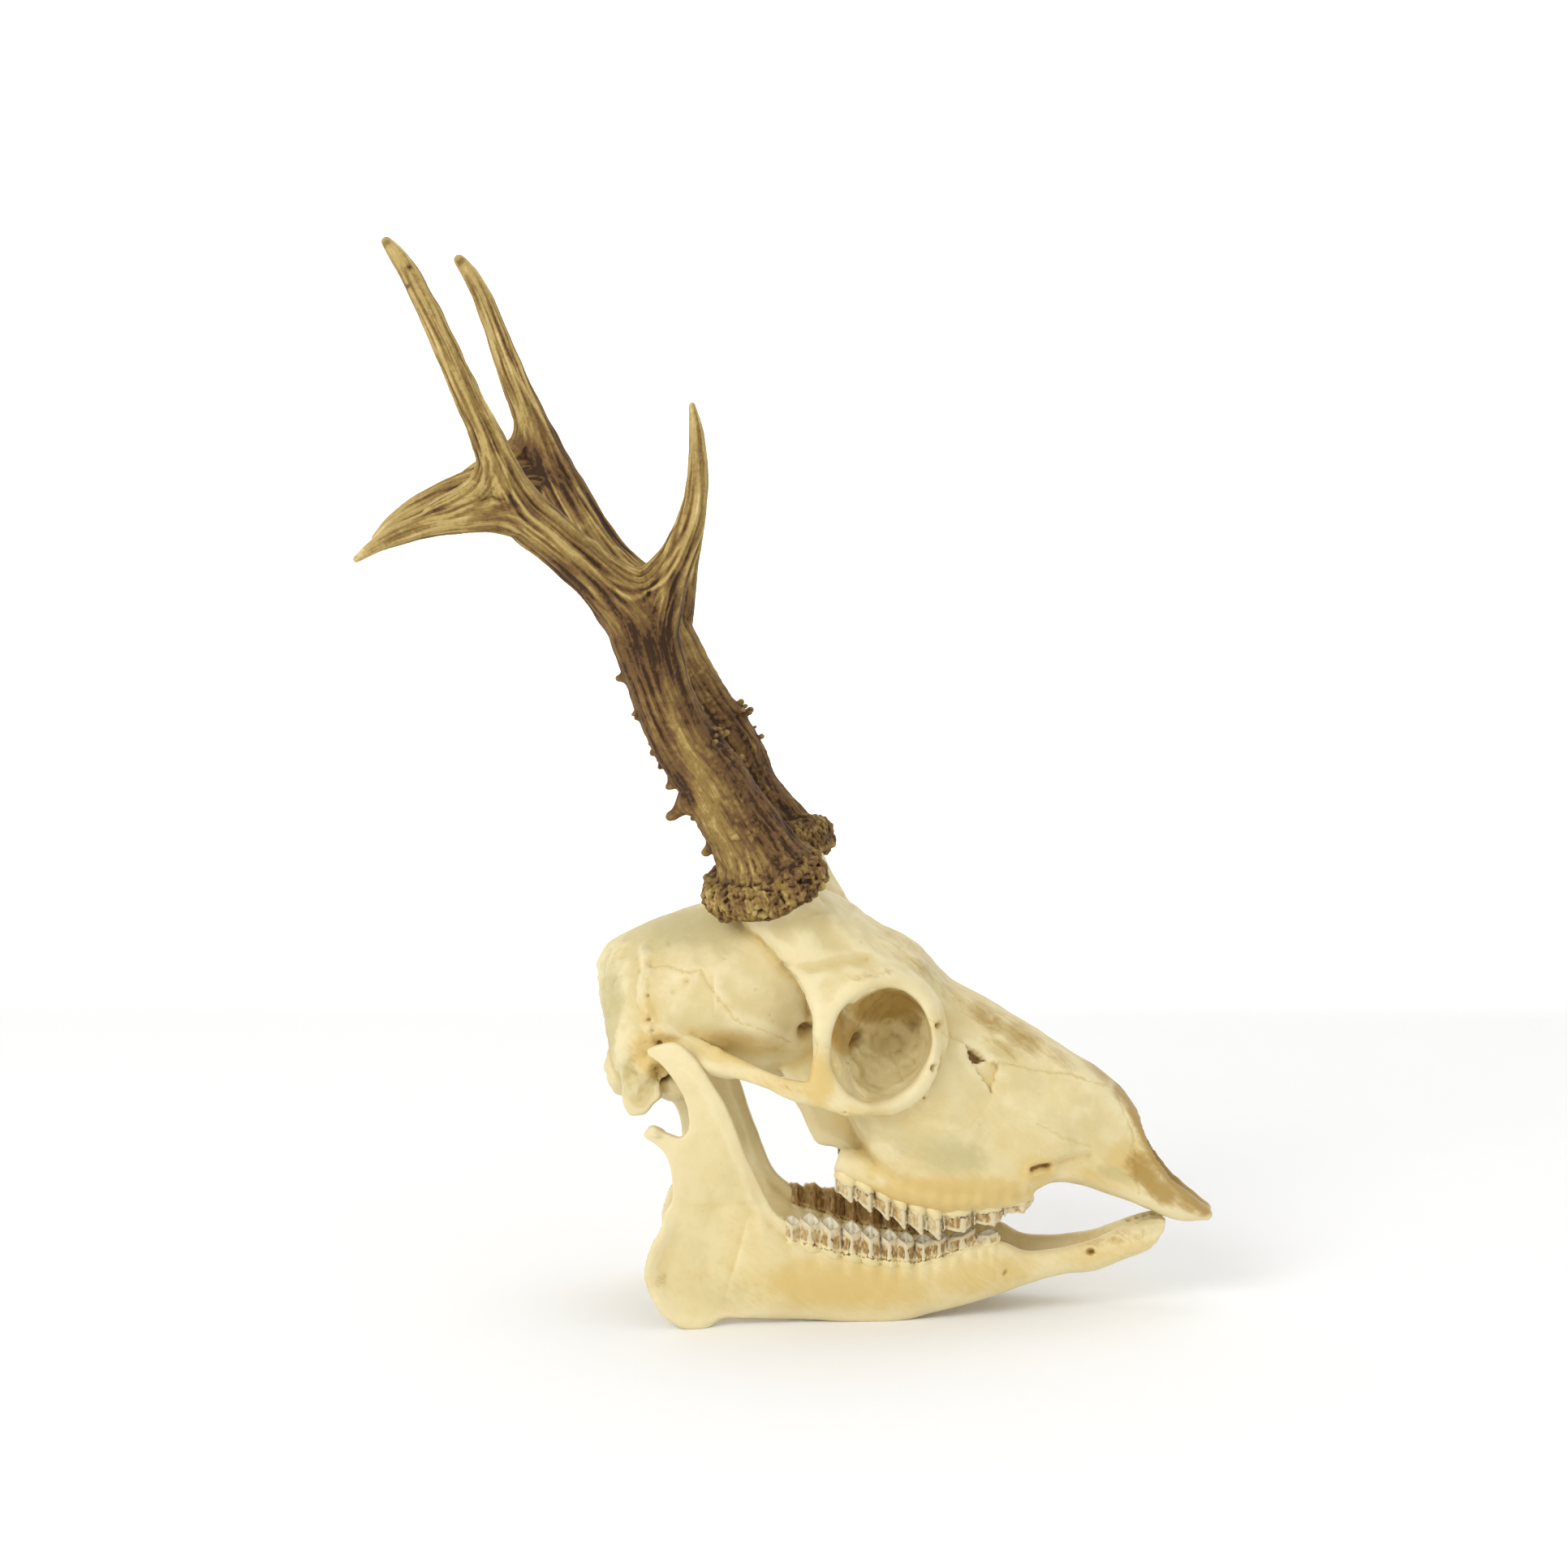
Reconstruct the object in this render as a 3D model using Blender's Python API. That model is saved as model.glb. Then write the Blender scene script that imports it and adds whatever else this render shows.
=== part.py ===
"""Roe buck skull with its antlers and lower jaw, life size, resting on the lower jaw.

Units are metres, written as millimetres times MM. +X points to the nose, +Y to the animal's left and +Z up.
The origin is on the ground under the middle of the whole piece. Side outlines are (x, z) pairs in millimetres,
and half widths are measured from the mid plane at y = 0.
"""

import math
import random

import bmesh
import bpy
import numpy as np
from mathutils import Matrix, Vector

MM = 0.001
BONE_VOXEL = 0.9 * MM
JAW_VOXEL = 0.8 * MM
ANTLER_VOXEL = 0.8 * MM
PART_GAP = 0.3 * MM
RIGHT, LEFT = -1, 1

CRANIUM_TRIANGLES = 4450
JAW_TRIANGLES = 1350
ANTLER_TRIANGLES = {"beam": 520, "upper_beam": 150, "front_tine": 120, "rear_tine": 100, "top_tine": 120}

# ---------------------------------------------------------------- driving sizes, all in millimetres

ORBIT_CENTRE = (30.0, -41.0, 88.6)
ORBIT_RADII = (14.4, 30.0, 17.2)
ORBIT_TURN = 16.0  # degrees that the socket looks forward
BURR_RADIUS = 19.0
BURR_ROWS = ((2.6, 0.96, 24), (6.6, 1.0, 26), (10.4, 0.88, 20))  # height above the foot, reach, knobs round
PEDICLE_RADIUS = 12.0

# The closed body of the cranium, station by station from the nape to the muzzle: its top and bottom point in the
# mid plane, and its half width at five levels from top to bottom.
SKULL_LEVELS = (0.07, 0.27, 0.5, 0.73, 0.93)
SKULL_STATIONS = (
    ("nape plate", (-56.0, 101), (-52, 80), (5, 12, 16, 15, 8)),
    ("nape crest", (-57.5, 107), (-48, 71), (7, 17, 24, 26, 17)),
    ("crown rear", (-51.5, 115), (-40, 71), (11, 23, 28.5, 29.2, 20)),
    ("braincase rear", (-38, 121.5), (-30, 73), (14, 26, 30.2, 28.5, 15)),
    ("braincase middle", (-24, 126), (-17, 75), (15, 27, 30.2, 27, 12)),
    ("coronal seam", (-9, 129), (-5, 76), (18, 27.5, 29.5, 26, 11)),
    ("pedicles", (4, 131), (4, 75), (23, 27, 26.5, 20, 9)),
    ("brow rear", (15, 128.5), (13, 70), (25, 33, 24, 17, 9)),
    ("socket middle", (28, 119.5), (21, 57), (26, 39, 38.5, 35, 20)),
    ("socket front", (40, 113.5), (29, 43), (24, 34, 36, 34, 26)),
    ("brow front", (49, 104.5), (39, 38), (17, 26, 32, 31, 27)),
    ("cheek", (62, 96.7), (50, 35), (13, 20.5, 27, 29, 25.5)),
    ("nose root", (76, 88.4), (62, 35), (11.5, 17, 22, 24.5, 22.5)),
    ("first premolar", (88, 80.7), (74, 36), (10.5, 15, 18.5, 20.5, 18.5)),
    ("gap front", (97, 75), (83, 39.5), (9.5, 13.5, 15.5, 16, 14)),
    ("nose tip", (106, 67.2), (93, 38.3), (8.5, 11.5, 13, 13, 10.5)),
    ("nostril", (113, 55.5), (103, 35), (7.5, 9.5, 10.5, 10.5, 8)),
    ("muzzle", (120, 42.8), (112, 31.3), (7.5, 9.5, 10, 10, 7.5)),
    ("muzzle front", (128, 35), (123, 27.6), (6.5, 8.5, 9, 8.5, 6.5)),
    ("muzzle tip", (133.5, 31), (132, 27.5), (4.5, 6, 6.5, 6, 4.5)),
)

# Tubes on the right side of the skull: points (x, y, z), then the half height and half width of the tube there.
CHEEK_ARCH = (
    ((-34, -26, 86), 5.4, 3.4),
    ((-24, -31, 83.5), 4.4, 2.6),
    ((-14, -36, 81.3), 3.2, 2.2),
    ((-5, -39.4, 78.6), 2.9, 2.1),
    ((4, -41.5, 75.6), 3.0, 2.3),
    ((14, -42, 73.5), 3.8, 2.6),
    ((24, -41.5, 69.6), 3.0, 3.0),
)
BROW_BAR = (
    ((2, -29, 119), 6.0, 4.5),
    ((8, -36, 110), 5.0, 3.6),
    ((12, -40, 101), 3.4, 2.4),
    ((13, -42, 91), 2.8, 2.2),
    ((12.6, -42.3, 82), 3.0, 2.3),
    ((12, -42, 75), 4.0, 2.5),
)
SOCKET_RIM = (
    ((13.2, -42.0, 84), 2.5, 2.5),
    ((17, -42.2, 75.5), 2.6, 2.8),
    ((24, -41.4, 70.6), 2.6, 3.2),
    ((32.5, -39.6, 69.5), 2.6, 3.4),
    ((40.5, -36.8, 73), 2.5, 3.6),
    ((45.5, -34.0, 81), 2.4, 3.6),
    ((46.2, -32.4, 91), 2.4, 3.8),
    ((42.5, -32.4, 100), 2.4, 3.8),
    ((36, -34.2, 106), 2.3, 3.8),
    ((28, -37.0, 107.8), 2.3, 3.6),
    ((20, -39.4, 104), 2.4, 3.0),
    ((14.6, -41.2, 96), 2.5, 2.6),
)

# The lower jaw lies flat in its own plane first. Its body runs from the front end to below the last molar.
JAW_STATIONS = (
    ("front end", (118.5, 28.5), (117.5, 24.5), 3.4),
    ("sockets of the front teeth", (114, 28.5), (114, 19.2), 4.6),
    ("joint of the halves", (105, 25.8), (106, 15.6), 4.6),
    ("bar front", (96, 22.0), (97, 12.4), 3.9),
    ("bar middle", (85, 19.8), (87, 11.6), 3.1),
    ("bar rear", (75, 19.6), (76, 9.4), 3.2),
    ("first premolar", (67.5, 23.0), (67, 6.6), 3.9),
    ("second premolar", (58, 22.9), (58, 4.0), 4.6),
    ("last premolar", (48, 19.8), (47, 1.6), 5.0),
    ("first molar", (37, 18.0), (35, -0.9), 5.2),
    ("middle molar", (24, 19.8), (22, -0.9), 5.2),
    ("last molar", (11, 23.6), (9, 0.6), 5.0),
    ("root of the upright", (1, 28.0), (-6, 1.6), 4.2),
    ("angle root", (-8, 38), (-18, 3), 2.4),
)
JAW_UPRIGHT = (
    (5, 26.5), (-2.4, 35.5), (-7.8, 47.7), (-11, 55), (-13.4, 62.5), (-16, 69), (-19.1, 74.6), (-22.1, 79.5),
    (-25.9, 84.7), (-31.5, 89), (-39.8, 86.6), (-35.4, 82.7), (-31.3, 77.4), (-28.6, 72), (-27.4, 66.6),
    (-27.7, 62), (-29.9, 59.6), (-32.6, 60.3), (-36, 61.8), (-38.2, 63.3), (-40.9, 60.5), (-37.7, 58.1),
    (-34.8, 55.1), (-33.3, 50.9), (-32.6, 44.9), (-32.9, 39.4), (-35, 35.6), (-35.5, 31.4), (-38.5, 25.9),
    (-40.2, 20.3), (-40.2, 15.1), (-37.8, 8.8), (-34.4, 4.1), (-30.2, 0.9), (-25.5, -1.0), (-21.3, 0.2),
    (-17, 2.4), (-8, 2.2), (4, 6),
)
UPRIGHT_HALF_THICKNESS = 1.7
# Distance of the jaw's middle plane from y = 0, along x, and how far the upright leans out with height.
JAW_SPREAD_X = (-41, -20, 5, 40, 66, 90, 105, 119)
JAW_SPREAD_Y = (34.5, 29.8, 23.4, 18.4, 13.6, 7.6, 4.3, 4.0)
UPRIGHT_TOP_Y = 37.4

# Cheek teeth as (x of the middle, z of the gum line, length, width, crown height) along each row.
UPPER_TEETH = (
    ("second premolar", 72.0, 34.6, 9.4, 6.5, 3.5),
    ("third premolar", 62.6, 33.8, 9.6, 8.5, 6.0),
    ("fourth premolar", 53.4, 33.0, 8.8, 9.5, 7.5),
    ("first molar", 43.6, 36.0, 10.6, 10.5, 7.5),
    ("second molar", 33.6, 40.6, 10.8, 11.0, 7.5),
    ("third molar", 23.4, 45.0, 10.8, 10.5, 6.5),
)
UPPER_ROW_Y = ((72, 15.5), (53, 20.5), (43, 22.5), (23, 22.5))
LOWER_TEETH = (
    ("second premolar", 63.4, 24.0, 6.8, 4.6, 4.6),
    ("third premolar", 55.6, 21.6, 8.4, 5.6, 7.0),
    ("fourth premolar", 46.6, 19.4, 9.2, 6.4, 9.0),
    ("first molar", 36.4, 18.4, 10.6, 7.6, 10.5),
    ("second molar", 25.0, 20.4, 11.8, 8.0, 11.0),
    ("third molar", 11.2, 24.0, 15.4, 7.8, 10.5),
)

# Antler shafts as (x, z), distance from the mid plane, and radius. The cuts between the pieces are planes
# across the side view: a point that each passes through, and the direction that its upper side faces.
RIGHT_CUTS = {
    "first fork": ((-41.5, 210.5), (-0.35, 0.94)),
    "front of it": ((-38.0, 230.5), (0.97, 0.24)),
    "second fork": ((-72.5, 245.2), (-0.72, 0.69)),
    "top of it": ((-87.0, 258.4), (0.5, 0.87)),
}
LEFT_CUTS = {
    "first fork": ((-40.2, 210.5), (-0.45, 0.89)),
    "front of it": ((-39.5, 228.0), (0.97, 0.24)),
    "second fork": ((-71.5, 253.0), (-0.55, 0.83)),
    "top of it": ((-89.5, 266.5), (0.45, 0.89)),
}
RIGHT_ANTLER = {
    "beam": (
        ((-2.2, 131.5), 22.5, 13.0), ((-8.2, 146.2), 24.0, 12.2), ((-15.6, 159.2), 25.2, 11.2),
        ((-21.5, 168), 26.0, 10.2), ((-27.6, 176), 27, 9.6), ((-32.8, 186), 28, 9.3), ((-36.8, 197), 29.5, 9.2),
        ((-40.2, 209), 31.5, 10.0), ((-44.0, 217.5), 33.5, 10.0),
    ),
    "upper_beam": (
        ((-44.0, 217.5), 33.5, 9.4), ((-54.4, 228.4), 37, 7.2), ((-65.3, 238.6), 41, 6.9),
        ((-74.0, 246.4), 44, 7.4), ((-80.0, 252.5), 46, 7.4),
    ),
    "front_tine": (
        ((-37.0, 214.0), 33.0, 8.0), ((-33.5, 226.0), 34.5, 6.6), ((-28.9, 236.0), 35.4, 4.9),
        ((-25.5, 246.4), 36, 3.7), ((-24.2, 256.2), 36.4, 3.05), ((-24.1, 264.6), 36.2, 2.5),
        ((-24.7, 271.5), 35.6, 2.0), ((-25.8, 278.4), 34.8, 0.9),
    ),
    "rear_tine": (
        ((-77.0, 247.5), 45.5, 7.0), ((-87.0, 247.0), 48, 5.6), ((-96.8, 245.3), 50, 4.4),
        ((-105, 243), 50.6, 3.5), ((-112, 240.2), 50.4, 2.75), ((-117.5, 237.6), 49.6, 2.1),
        ((-123.9, 233.2), 48.4, 0.9),
    ),
    "top_tine": (
        ((-76.5, 249.0), 46, 7.0), ((-82.2, 262.5), 48.4, 5.2), ((-85.1, 270.3), 49.6, 4.3),
        ((-88.3, 277.6), 50.8, 3.75), ((-92, 286), 52, 3.6), ((-95.4, 294), 52.6, 3.45),
        ((-99.7, 302.9), 52.6, 3.3), ((-103.6, 310.5), 51.8, 3.1), ((-107, 316.8), 50.8, 2.8),
        ((-110.3, 321.6), 49.8, 2.4), ((-113.6, 325.6), 48.6, 1.4),
    ),
}
LEFT_ANTLER = {
    "beam": (
        ((0.4, 134.2), 22.5, 13.0), ((-5.2, 146.4), 24.0, 12.0), ((-10.9, 157.4), 25.2, 11.0),
        ((-15.0, 169), 26.0, 10.0), ((-19.8, 178.0), 27, 9.6), ((-26.2, 186.6), 28, 9.2),
        ((-33.0, 195.6), 29.5, 9.0), ((-39.0, 206.6), 31.5, 9.3), ((-43.4, 215.6), 33.5, 9.5),
    ),
    "upper_beam": (
        ((-43.4, 215.6), 33.5, 9.4), ((-54.0, 226.0), 37, 7.4), ((-63.0, 237.6), 41, 7.0),
        ((-71.2, 250.2), 44, 7.2), ((-77.4, 260.3), 46, 7.2),
    ),
    "front_tine": (
        ((-37.0, 212.0), 33.0, 7.6), ((-35.0, 224.0), 34.0, 6.0), ((-32.2, 235.0), 34.6, 4.4),
        ((-29.6, 245.6), 35, 3.4), ((-28.5, 255.2), 35.2, 2.8), ((-28.3, 263.0), 35.0, 2.3),
        ((-28.8, 269.0), 34.4, 1.7), ((-29.6, 274.0), 33.8, 0.9),
    ),
    "rear_tine": (
        ((-75.0, 257.0), 45.5, 7.0), ((-87.0, 256.5), 48, 5.8), ((-97.6, 255.4), 50, 4.8),
        ((-109.7, 252.0), 50.6, 3.8), ((-116.4, 249.0), 50.6, 3.2), ((-123.2, 245.5), 50.2, 2.6),
        ((-128.6, 241.8), 49.4, 1.9), ((-134.0, 236.6), 48.4, 0.9),
    ),
    "top_tine": (
        ((-74.5, 258.0), 46, 7.0), ((-80.0, 268.5), 48.2, 5.6), ((-83.2, 275.5), 49.4, 4.9),
        ((-86.4, 283), 50.6, 4.3), ((-89.6, 290.6), 51.6, 3.9), ((-92.8, 299), 52.4, 3.55),
        ((-95.9, 307.4), 52.6, 3.2), ((-99.0, 315), 51.6, 2.9), ((-102.4, 321.2), 50.6, 2.6),
        ((-105.6, 325.6), 49.8, 1.7),
    ),
}

# ---------------------------------------------------------------- shapes


def clear_scene():
    for obj in list(bpy.data.objects):
        bpy.data.objects.remove(obj)


def smooth_curve(points, count, closed=False):
    """Points evenly spread in parameter on a Catmull-Rom curve through the given ones."""
    p = np.asarray(points, float)
    n = len(p)
    if closed:
        p = np.vstack([p[-1:], p, p[:2]])
        spans = n
    else:
        p = np.vstack([2 * p[0] - p[1], p, 2 * p[-1] - p[-2]])
        spans = n - 1
    t = np.linspace(0, spans, count, endpoint=not closed)
    i = np.minimum(t.astype(int), spans - 1)
    f = (t - i)[:, None]
    a, b, c, d = p[i], p[i + 1], p[i + 2], p[i + 3]
    return 0.5 * (2 * b + (c - a) * f + (2 * a - 5 * b + 4 * c - d) * f**2 + (3 * b - a - 3 * c + d) * f**3)


def skin_rings(bm, rings):
    """Joins rings of points into a closed shell with capped ends."""
    loops = [[bm.verts.new(p) for p in ring] for ring in rings]
    n = len(loops[0])
    for low, high in zip(loops, loops[1:]):
        for i in range(n):
            j = (i + 1) % n
            bm.faces.new((low[i], low[j], high[j], high[i]))
    bm.faces.new(loops[0][::-1])
    bm.faces.new(loops[-1])


def finished(bm):
    bmesh.ops.triangulate(bm, faces=[f for f in bm.faces if len(f.verts) > 4])
    bmesh.ops.recalc_face_normals(bm, faces=bm.faces)
    return bm


def new_object(name, bm, material=None):
    mesh = bpy.data.meshes.new(name)
    finished(bm).to_mesh(mesh)
    bm.free()
    obj = bpy.data.objects.new(name, mesh)
    bpy.context.scene.collection.objects.link(obj)
    if material:
        mesh.materials.append(material)
    return obj


def section(half_widths, levels, count):
    """A closed outline as (side, level) pairs: side in millimetres, level from 0 at the top to 1 at the bottom."""
    side = [(w, t) for w, t in zip(half_widths, levels)]
    other = [(-w, t) for w, t in reversed(side)]
    return smooth_curve([(0.0, 0.0), *side, (0.0, 1.0), *other], count, closed=True)


def skull_body(bm, ring_count=64, points=48):
    """The solid body of the cranium, lofted through its stations."""
    table = []
    for _, top, bottom, widths in SKULL_STATIONS:
        ring = section(widths, SKULL_LEVELS, points)
        x = top[0] + (bottom[0] - top[0]) * ring[:, 1]
        z = top[1] + (bottom[1] - top[1]) * ring[:, 1]
        table.append(np.stack([x, ring[:, 0], z], 1).ravel())
    rings = smooth_curve(table, ring_count).reshape(ring_count, points, 3) * MM
    skin_rings(bm, rings)


def tube(bm, stations, side=RIGHT, points=16, closed=False, steps=4):
    """A tube through stations of ((x, y, z), half height, half width), for one side of the skull."""
    table = [(x, y, z, a, b) for (x, y, z), a, b in stations]
    count = len(table) * steps
    path = smooth_curve(table, count, closed)
    path[:, 1] *= -side
    rings = []
    for i, (x, y, z, a, b) in enumerate(path):
        before = path[i - 1] if closed or i else path[0]
        after = path[(i + 1) % count] if closed or i + 1 < count else path[-1]
        ahead = Vector(after[:3] - before[:3]).normalized()
        across = Vector((0, 1, 0)) - ahead * ahead.y
        across.normalize()
        upward = ahead.cross(across)
        ring = []
        for k in range(points):
            angle = math.tau * k / points
            ring.append((Vector((x, y, z)) + upward * a * math.cos(angle) + across * b * math.sin(angle)) * MM)
        rings.append(ring)
    if not closed:
        skin_rings(bm, rings)
        return
    loops = [[bm.verts.new(p) for p in ring] for ring in rings]
    for low, high in zip(loops, loops[1:] + loops[:1]):
        for i in range(points):
            j = (i + 1) % points
            bm.faces.new((low[i], low[j], high[j], high[i]))


def ball(bm, centre, radii, turn=(0, 0, 0), detail=3):
    """An egg of the given radii, turned by degrees about x, y and z."""
    spin = Matrix.Rotation(math.radians(turn[2]), 4, "Z") @ Matrix.Rotation(math.radians(turn[1]), 4, "Y")
    spin = spin @ Matrix.Rotation(math.radians(turn[0]), 4, "X")
    place = Matrix.Translation(Vector(centre) * MM) @ spin @ Matrix.Diagonal((*(r * MM for r in radii), 1))
    bmesh.ops.create_icosphere(bm, subdivisions=detail, radius=1, matrix=place)


def slab(bm, outline, y_low, y_high, edge=0.8):
    """A plate whose side outline is given as (x, z), with its edges drawn in a little."""
    outline = np.asarray(outline, float)
    middle = outline.mean(0)
    shrink = middle + (outline - middle) * (1 - edge / np.abs(outline - middle).max())
    inner = (y_high - y_low) * 0.25
    rings = [
        [(x * MM, y * MM, z * MM) for x, z in line]
        for y, line in ((y_low, shrink), (y_low + inner, outline), (y_high - inner, outline), (y_high, shrink))
    ]
    skin_rings(bm, rings)


def both_sides(shape):
    for side in (RIGHT, LEFT):
        shape(side)


# ---------------------------------------------------------------- joining, carving and thinning


def copy_of(obj, name):
    twin = bpy.data.objects.new(name, obj.data.copy())
    bpy.context.scene.collection.objects.link(twin)
    return twin


def evaluated(obj):
    graph = bpy.context.evaluated_depsgraph_get()
    mesh = bpy.data.meshes.new_from_object(obj.evaluated_get(graph))
    old = obj.data
    obj.modifiers.clear()
    obj.data = mesh
    bpy.data.meshes.remove(old)
    return obj


def fuse(obj, voxel, smoothing):
    """Turns overlapping shells into one skin and rounds it."""
    remesh = obj.modifiers.new("fuse", "REMESH")
    remesh.mode = "VOXEL"
    remesh.voxel_size = voxel
    if smoothing:
        smooth = obj.modifiers.new("round", "SMOOTH")
        smooth.factor = 0.5
        smooth.iterations = smoothing
    return evaluated(obj)


def carve(obj, cutter):
    """Cuts a hidden helper out of the object."""
    cut = obj.modifiers.new("carve", "BOOLEAN")
    cut.operation = "DIFFERENCE"
    cut.solver = "EXACT"
    cut.use_self = True
    cut.object = cutter
    evaluated(obj)
    bpy.data.objects.remove(cutter)
    return obj


def largest_body(obj):
    """Drops any loose crumb that carving left."""
    bm = bmesh.new()
    bm.from_mesh(obj.data)
    bmesh.ops.remove_doubles(bm, verts=bm.verts, dist=0.002 * MM)
    todo = set(bm.verts)
    bodies = []
    while todo:
        seed = todo.pop()
        body, front = {seed}, [seed]
        while front:
            for edge in front.pop().link_edges:
                for v in edge.verts:
                    if v not in body:
                        body.add(v)
                        front.append(v)
        todo -= body
        bodies.append(body)
    keep = max(bodies, key=len)
    bmesh.ops.delete(bm, geom=[v for v in bm.verts if v not in keep], context="VERTS")
    bm.to_mesh(obj.data)
    bm.free()
    return obj


def thin_out(obj, triangles):
    """Collapses the mesh to about this many triangles."""
    obj.data.calc_loop_triangles()
    now = len(obj.data.loop_triangles)
    reduce = obj.modifiers.new("thin out", "DECIMATE")
    reduce.ratio = min(1.0, triangles / now)
    reduce.use_collapse_triangulate = True
    evaluated(obj)
    bm = bmesh.new()
    bm.from_mesh(obj.data)
    bmesh.ops.dissolve_degenerate(bm, edges=bm.edges, dist=0.01 * MM)
    bmesh.ops.triangulate(bm, faces=bm.faces)
    bm.to_mesh(obj.data)
    bm.free()
    obj.data.shade_smooth()
    obj.data.set_sharp_from_angle(angle=math.radians(50))
    return obj


def material(name, colour, roughness):
    made = bpy.data.materials.new(name)
    made.use_nodes = True
    shader = made.node_tree.nodes["Principled BSDF"]
    shader.inputs["Base Color"].default_value = (*colour, 1)
    shader.inputs["Roughness"].default_value = roughness
    shader.inputs["Metallic"].default_value = 0
    made.diffuse_color = (*colour, 1)
    return made


# ---------------------------------------------------------------- the cranium


def row_y(x, row):
    xs, ys = zip(*sorted(row))
    return float(np.interp(x, xs, ys))


def crown(bm, x, y, z, length, width, height, tilt, up):
    """A cheek tooth: a tapered block with two cusps, standing up or hanging down."""
    way = 1 if up else -1
    lean = math.radians(tilt)
    along = Vector((math.cos(lean), 0, math.sin(lean)))
    rise = Vector((-math.sin(lean), 0, math.cos(lean))) * way
    for cusp in (-0.25, 0.25):
        foot = Vector((x, y, z)) + along * length * cusp - rise * 3.0
        rings = []
        for level, spread in ((0.0, 0.92), (3.0, 1.0), (3.0 + height * 0.7, 0.94), (3.0 + height, 0.35)):
            ring = []
            for k in range(12):
                angle = math.tau * k / 12
                push = along * math.cos(angle) * length * 0.29 + Vector((0, math.sin(angle) * width * 0.5, 0))
                ring.append((foot + rise * level + push * spread) * MM)
            rings.append(ring)
        skin_rings(bm, rings)


def cheek_row(bm, teeth, side, row, up):
    """One row of cheek teeth. row gives the distance of the row's middle from the mid plane."""
    for i, (_, x, z, length, width, height) in enumerate(teeth):
        before, after = teeth[max(i - 1, 0)], teeth[min(i + 1, len(teeth) - 1)]
        tilt = math.degrees(math.atan2(before[2] - after[2], before[1] - after[1]))
        crown(bm, x, side * row_y(x, row), z, length, width, height, tilt, up)


def cranium_shells(bm):
    skull_body(bm)

    def one_side(side):
        tube(bm, CHEEK_ARCH, side)
        tube(bm, BROW_BAR, side)
        tube(bm, SOCKET_RIM, side, closed=True)
        ball(bm, (-19, side * 30, 80.5), (9, 7, 3.2), (0, 14, 0))  # shelf that the jaw hinges under
        ball(bm, (-48.5, side * 12.5, 75.5), (6.2, 7.5, 8.8), (0, -14, 0))  # joint knob at the nape
        ball(bm, (-33, side * 17, 73), (7.5, 5.5, 6.5))  # ear capsule
        ball(bm, (-39, side * 26, 80), (5.5, 5, 5))  # mouth of the ear
        plate = ((-49, 79), (-48.8, 69), (-46.8, 63.6), (-41.2, 63.7), (-35.9, 70), (-37, 77), (-42, 82))
        slab(bm, plate, *sorted((side * 22.6, side * 26.0)), edge=0.5)  # spur behind the ear
        wing = ((-2, 74), (2, 66.5), (5.6, 61.5), (9.4, 56.4), (10.4, 53.4), (16.5, 52.2), (28, 46), (34, 58), (22, 78), (4, 82))
        slab(bm, wing, *sorted((side * 10.5, side * 14.0)), edge=0.5)  # wing beside the inner nostril

    both_sides(one_side)


def antler_foot(antler, side):
    """Where an antler stands on its stump, and the way that it leans, in millimetres."""
    (x, z), spread, _ = antler["beam"][0]
    (x1, z1), spread1, _ = antler["beam"][1]
    return Vector((x, side * spread, z)), Vector((x1 - x, side * (spread1 - spread), z1 - z)).normalized()


def seat_cutter(bm, antler, side):
    """Takes off all of a stump that reaches above the flat under its antler."""
    foot, lean = antler_foot(antler, side)
    height, radius = 8.0, PEDICLE_RADIUS * 1.5
    centre = (foot + lean * (height - PART_GAP / MM) / 2) * MM
    place = Matrix.Translation(centre) @ lean.to_track_quat("Z", "Y").to_matrix().to_4x4()
    ends = radius * MM
    bmesh.ops.create_cone(
        bm, cap_ends=True, segments=24, radius1=ends, radius2=ends, depth=height * MM, matrix=place
    )


def pedicle(bm, antler, side):
    """The bone stump that carries an antler."""
    foot, lean = antler_foot(antler, side)
    stations = (
        (foot - lean * 15 + Vector((0, -side * 4, 0)), 13.5, 14),
        (foot - lean * 7 + Vector((0, -side * 1, 0)), 12, 12.5),
        (foot + lean * 2, PEDICLE_RADIUS, PEDICLE_RADIUS),
    )
    tube(bm, [((p.x, -side * p.y, p.z), a, b) for p, a, b in stations], side)


def cavities(bm):
    """Everything that is hollow in the cranium, as closed cutters that don't touch each other."""

    def one_side(side):
        x, y, z = ORBIT_CENTRE
        ball(bm, (x, -side * y, z), ORBIT_RADII, (0, 8, side * ORBIT_TURN))

    both_sides(one_side)


def palate_cutter(bm):
    """The vault between the tooth rows, which runs back into the inner nostrils."""
    stations = (
        ((4, 0, 63), 8, 8.5),
        ((16, 0, 59), 9, 9),
        ((26, 0, 50), 8, 11),
        ((36, 0, 41), 9, 14.5),
        ((48, 0, 35), 10, 15),
        ((60, 0, 33), 10, 13.5),
        ((71, 0, 33), 9, 10.5),
        ((82, 0, 34), 7, 8),
        ((94, 0, 33.5), 4.5, 6),
    )
    tube(bm, stations, points=20)


def nostril_cutter(bm):
    """The open nose between the nasal bones and the muzzle bones."""
    stations = (
        ((86, 0, 59), 6, 4),
        ((97, 0, 56), 8.6, 7.6),
        ((105, 0, 52), 9.4, 8.4),
        ((112, 0, 49.6), 12, 8),
        ((118, 0, 45.4), 11, 7),
        ((124, 0, 41), 8, 5.4),
        ((130, 0, 38), 5.2, 3.6),
        ((136, 0, 36.4), 4, 2.6),
    )
    tube(bm, stations, points=20)


def nape_cutter(bm):
    """The great hole of the nape."""
    ball(bm, (-54, 0, 80), (12, 8.5, 7.5))


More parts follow.
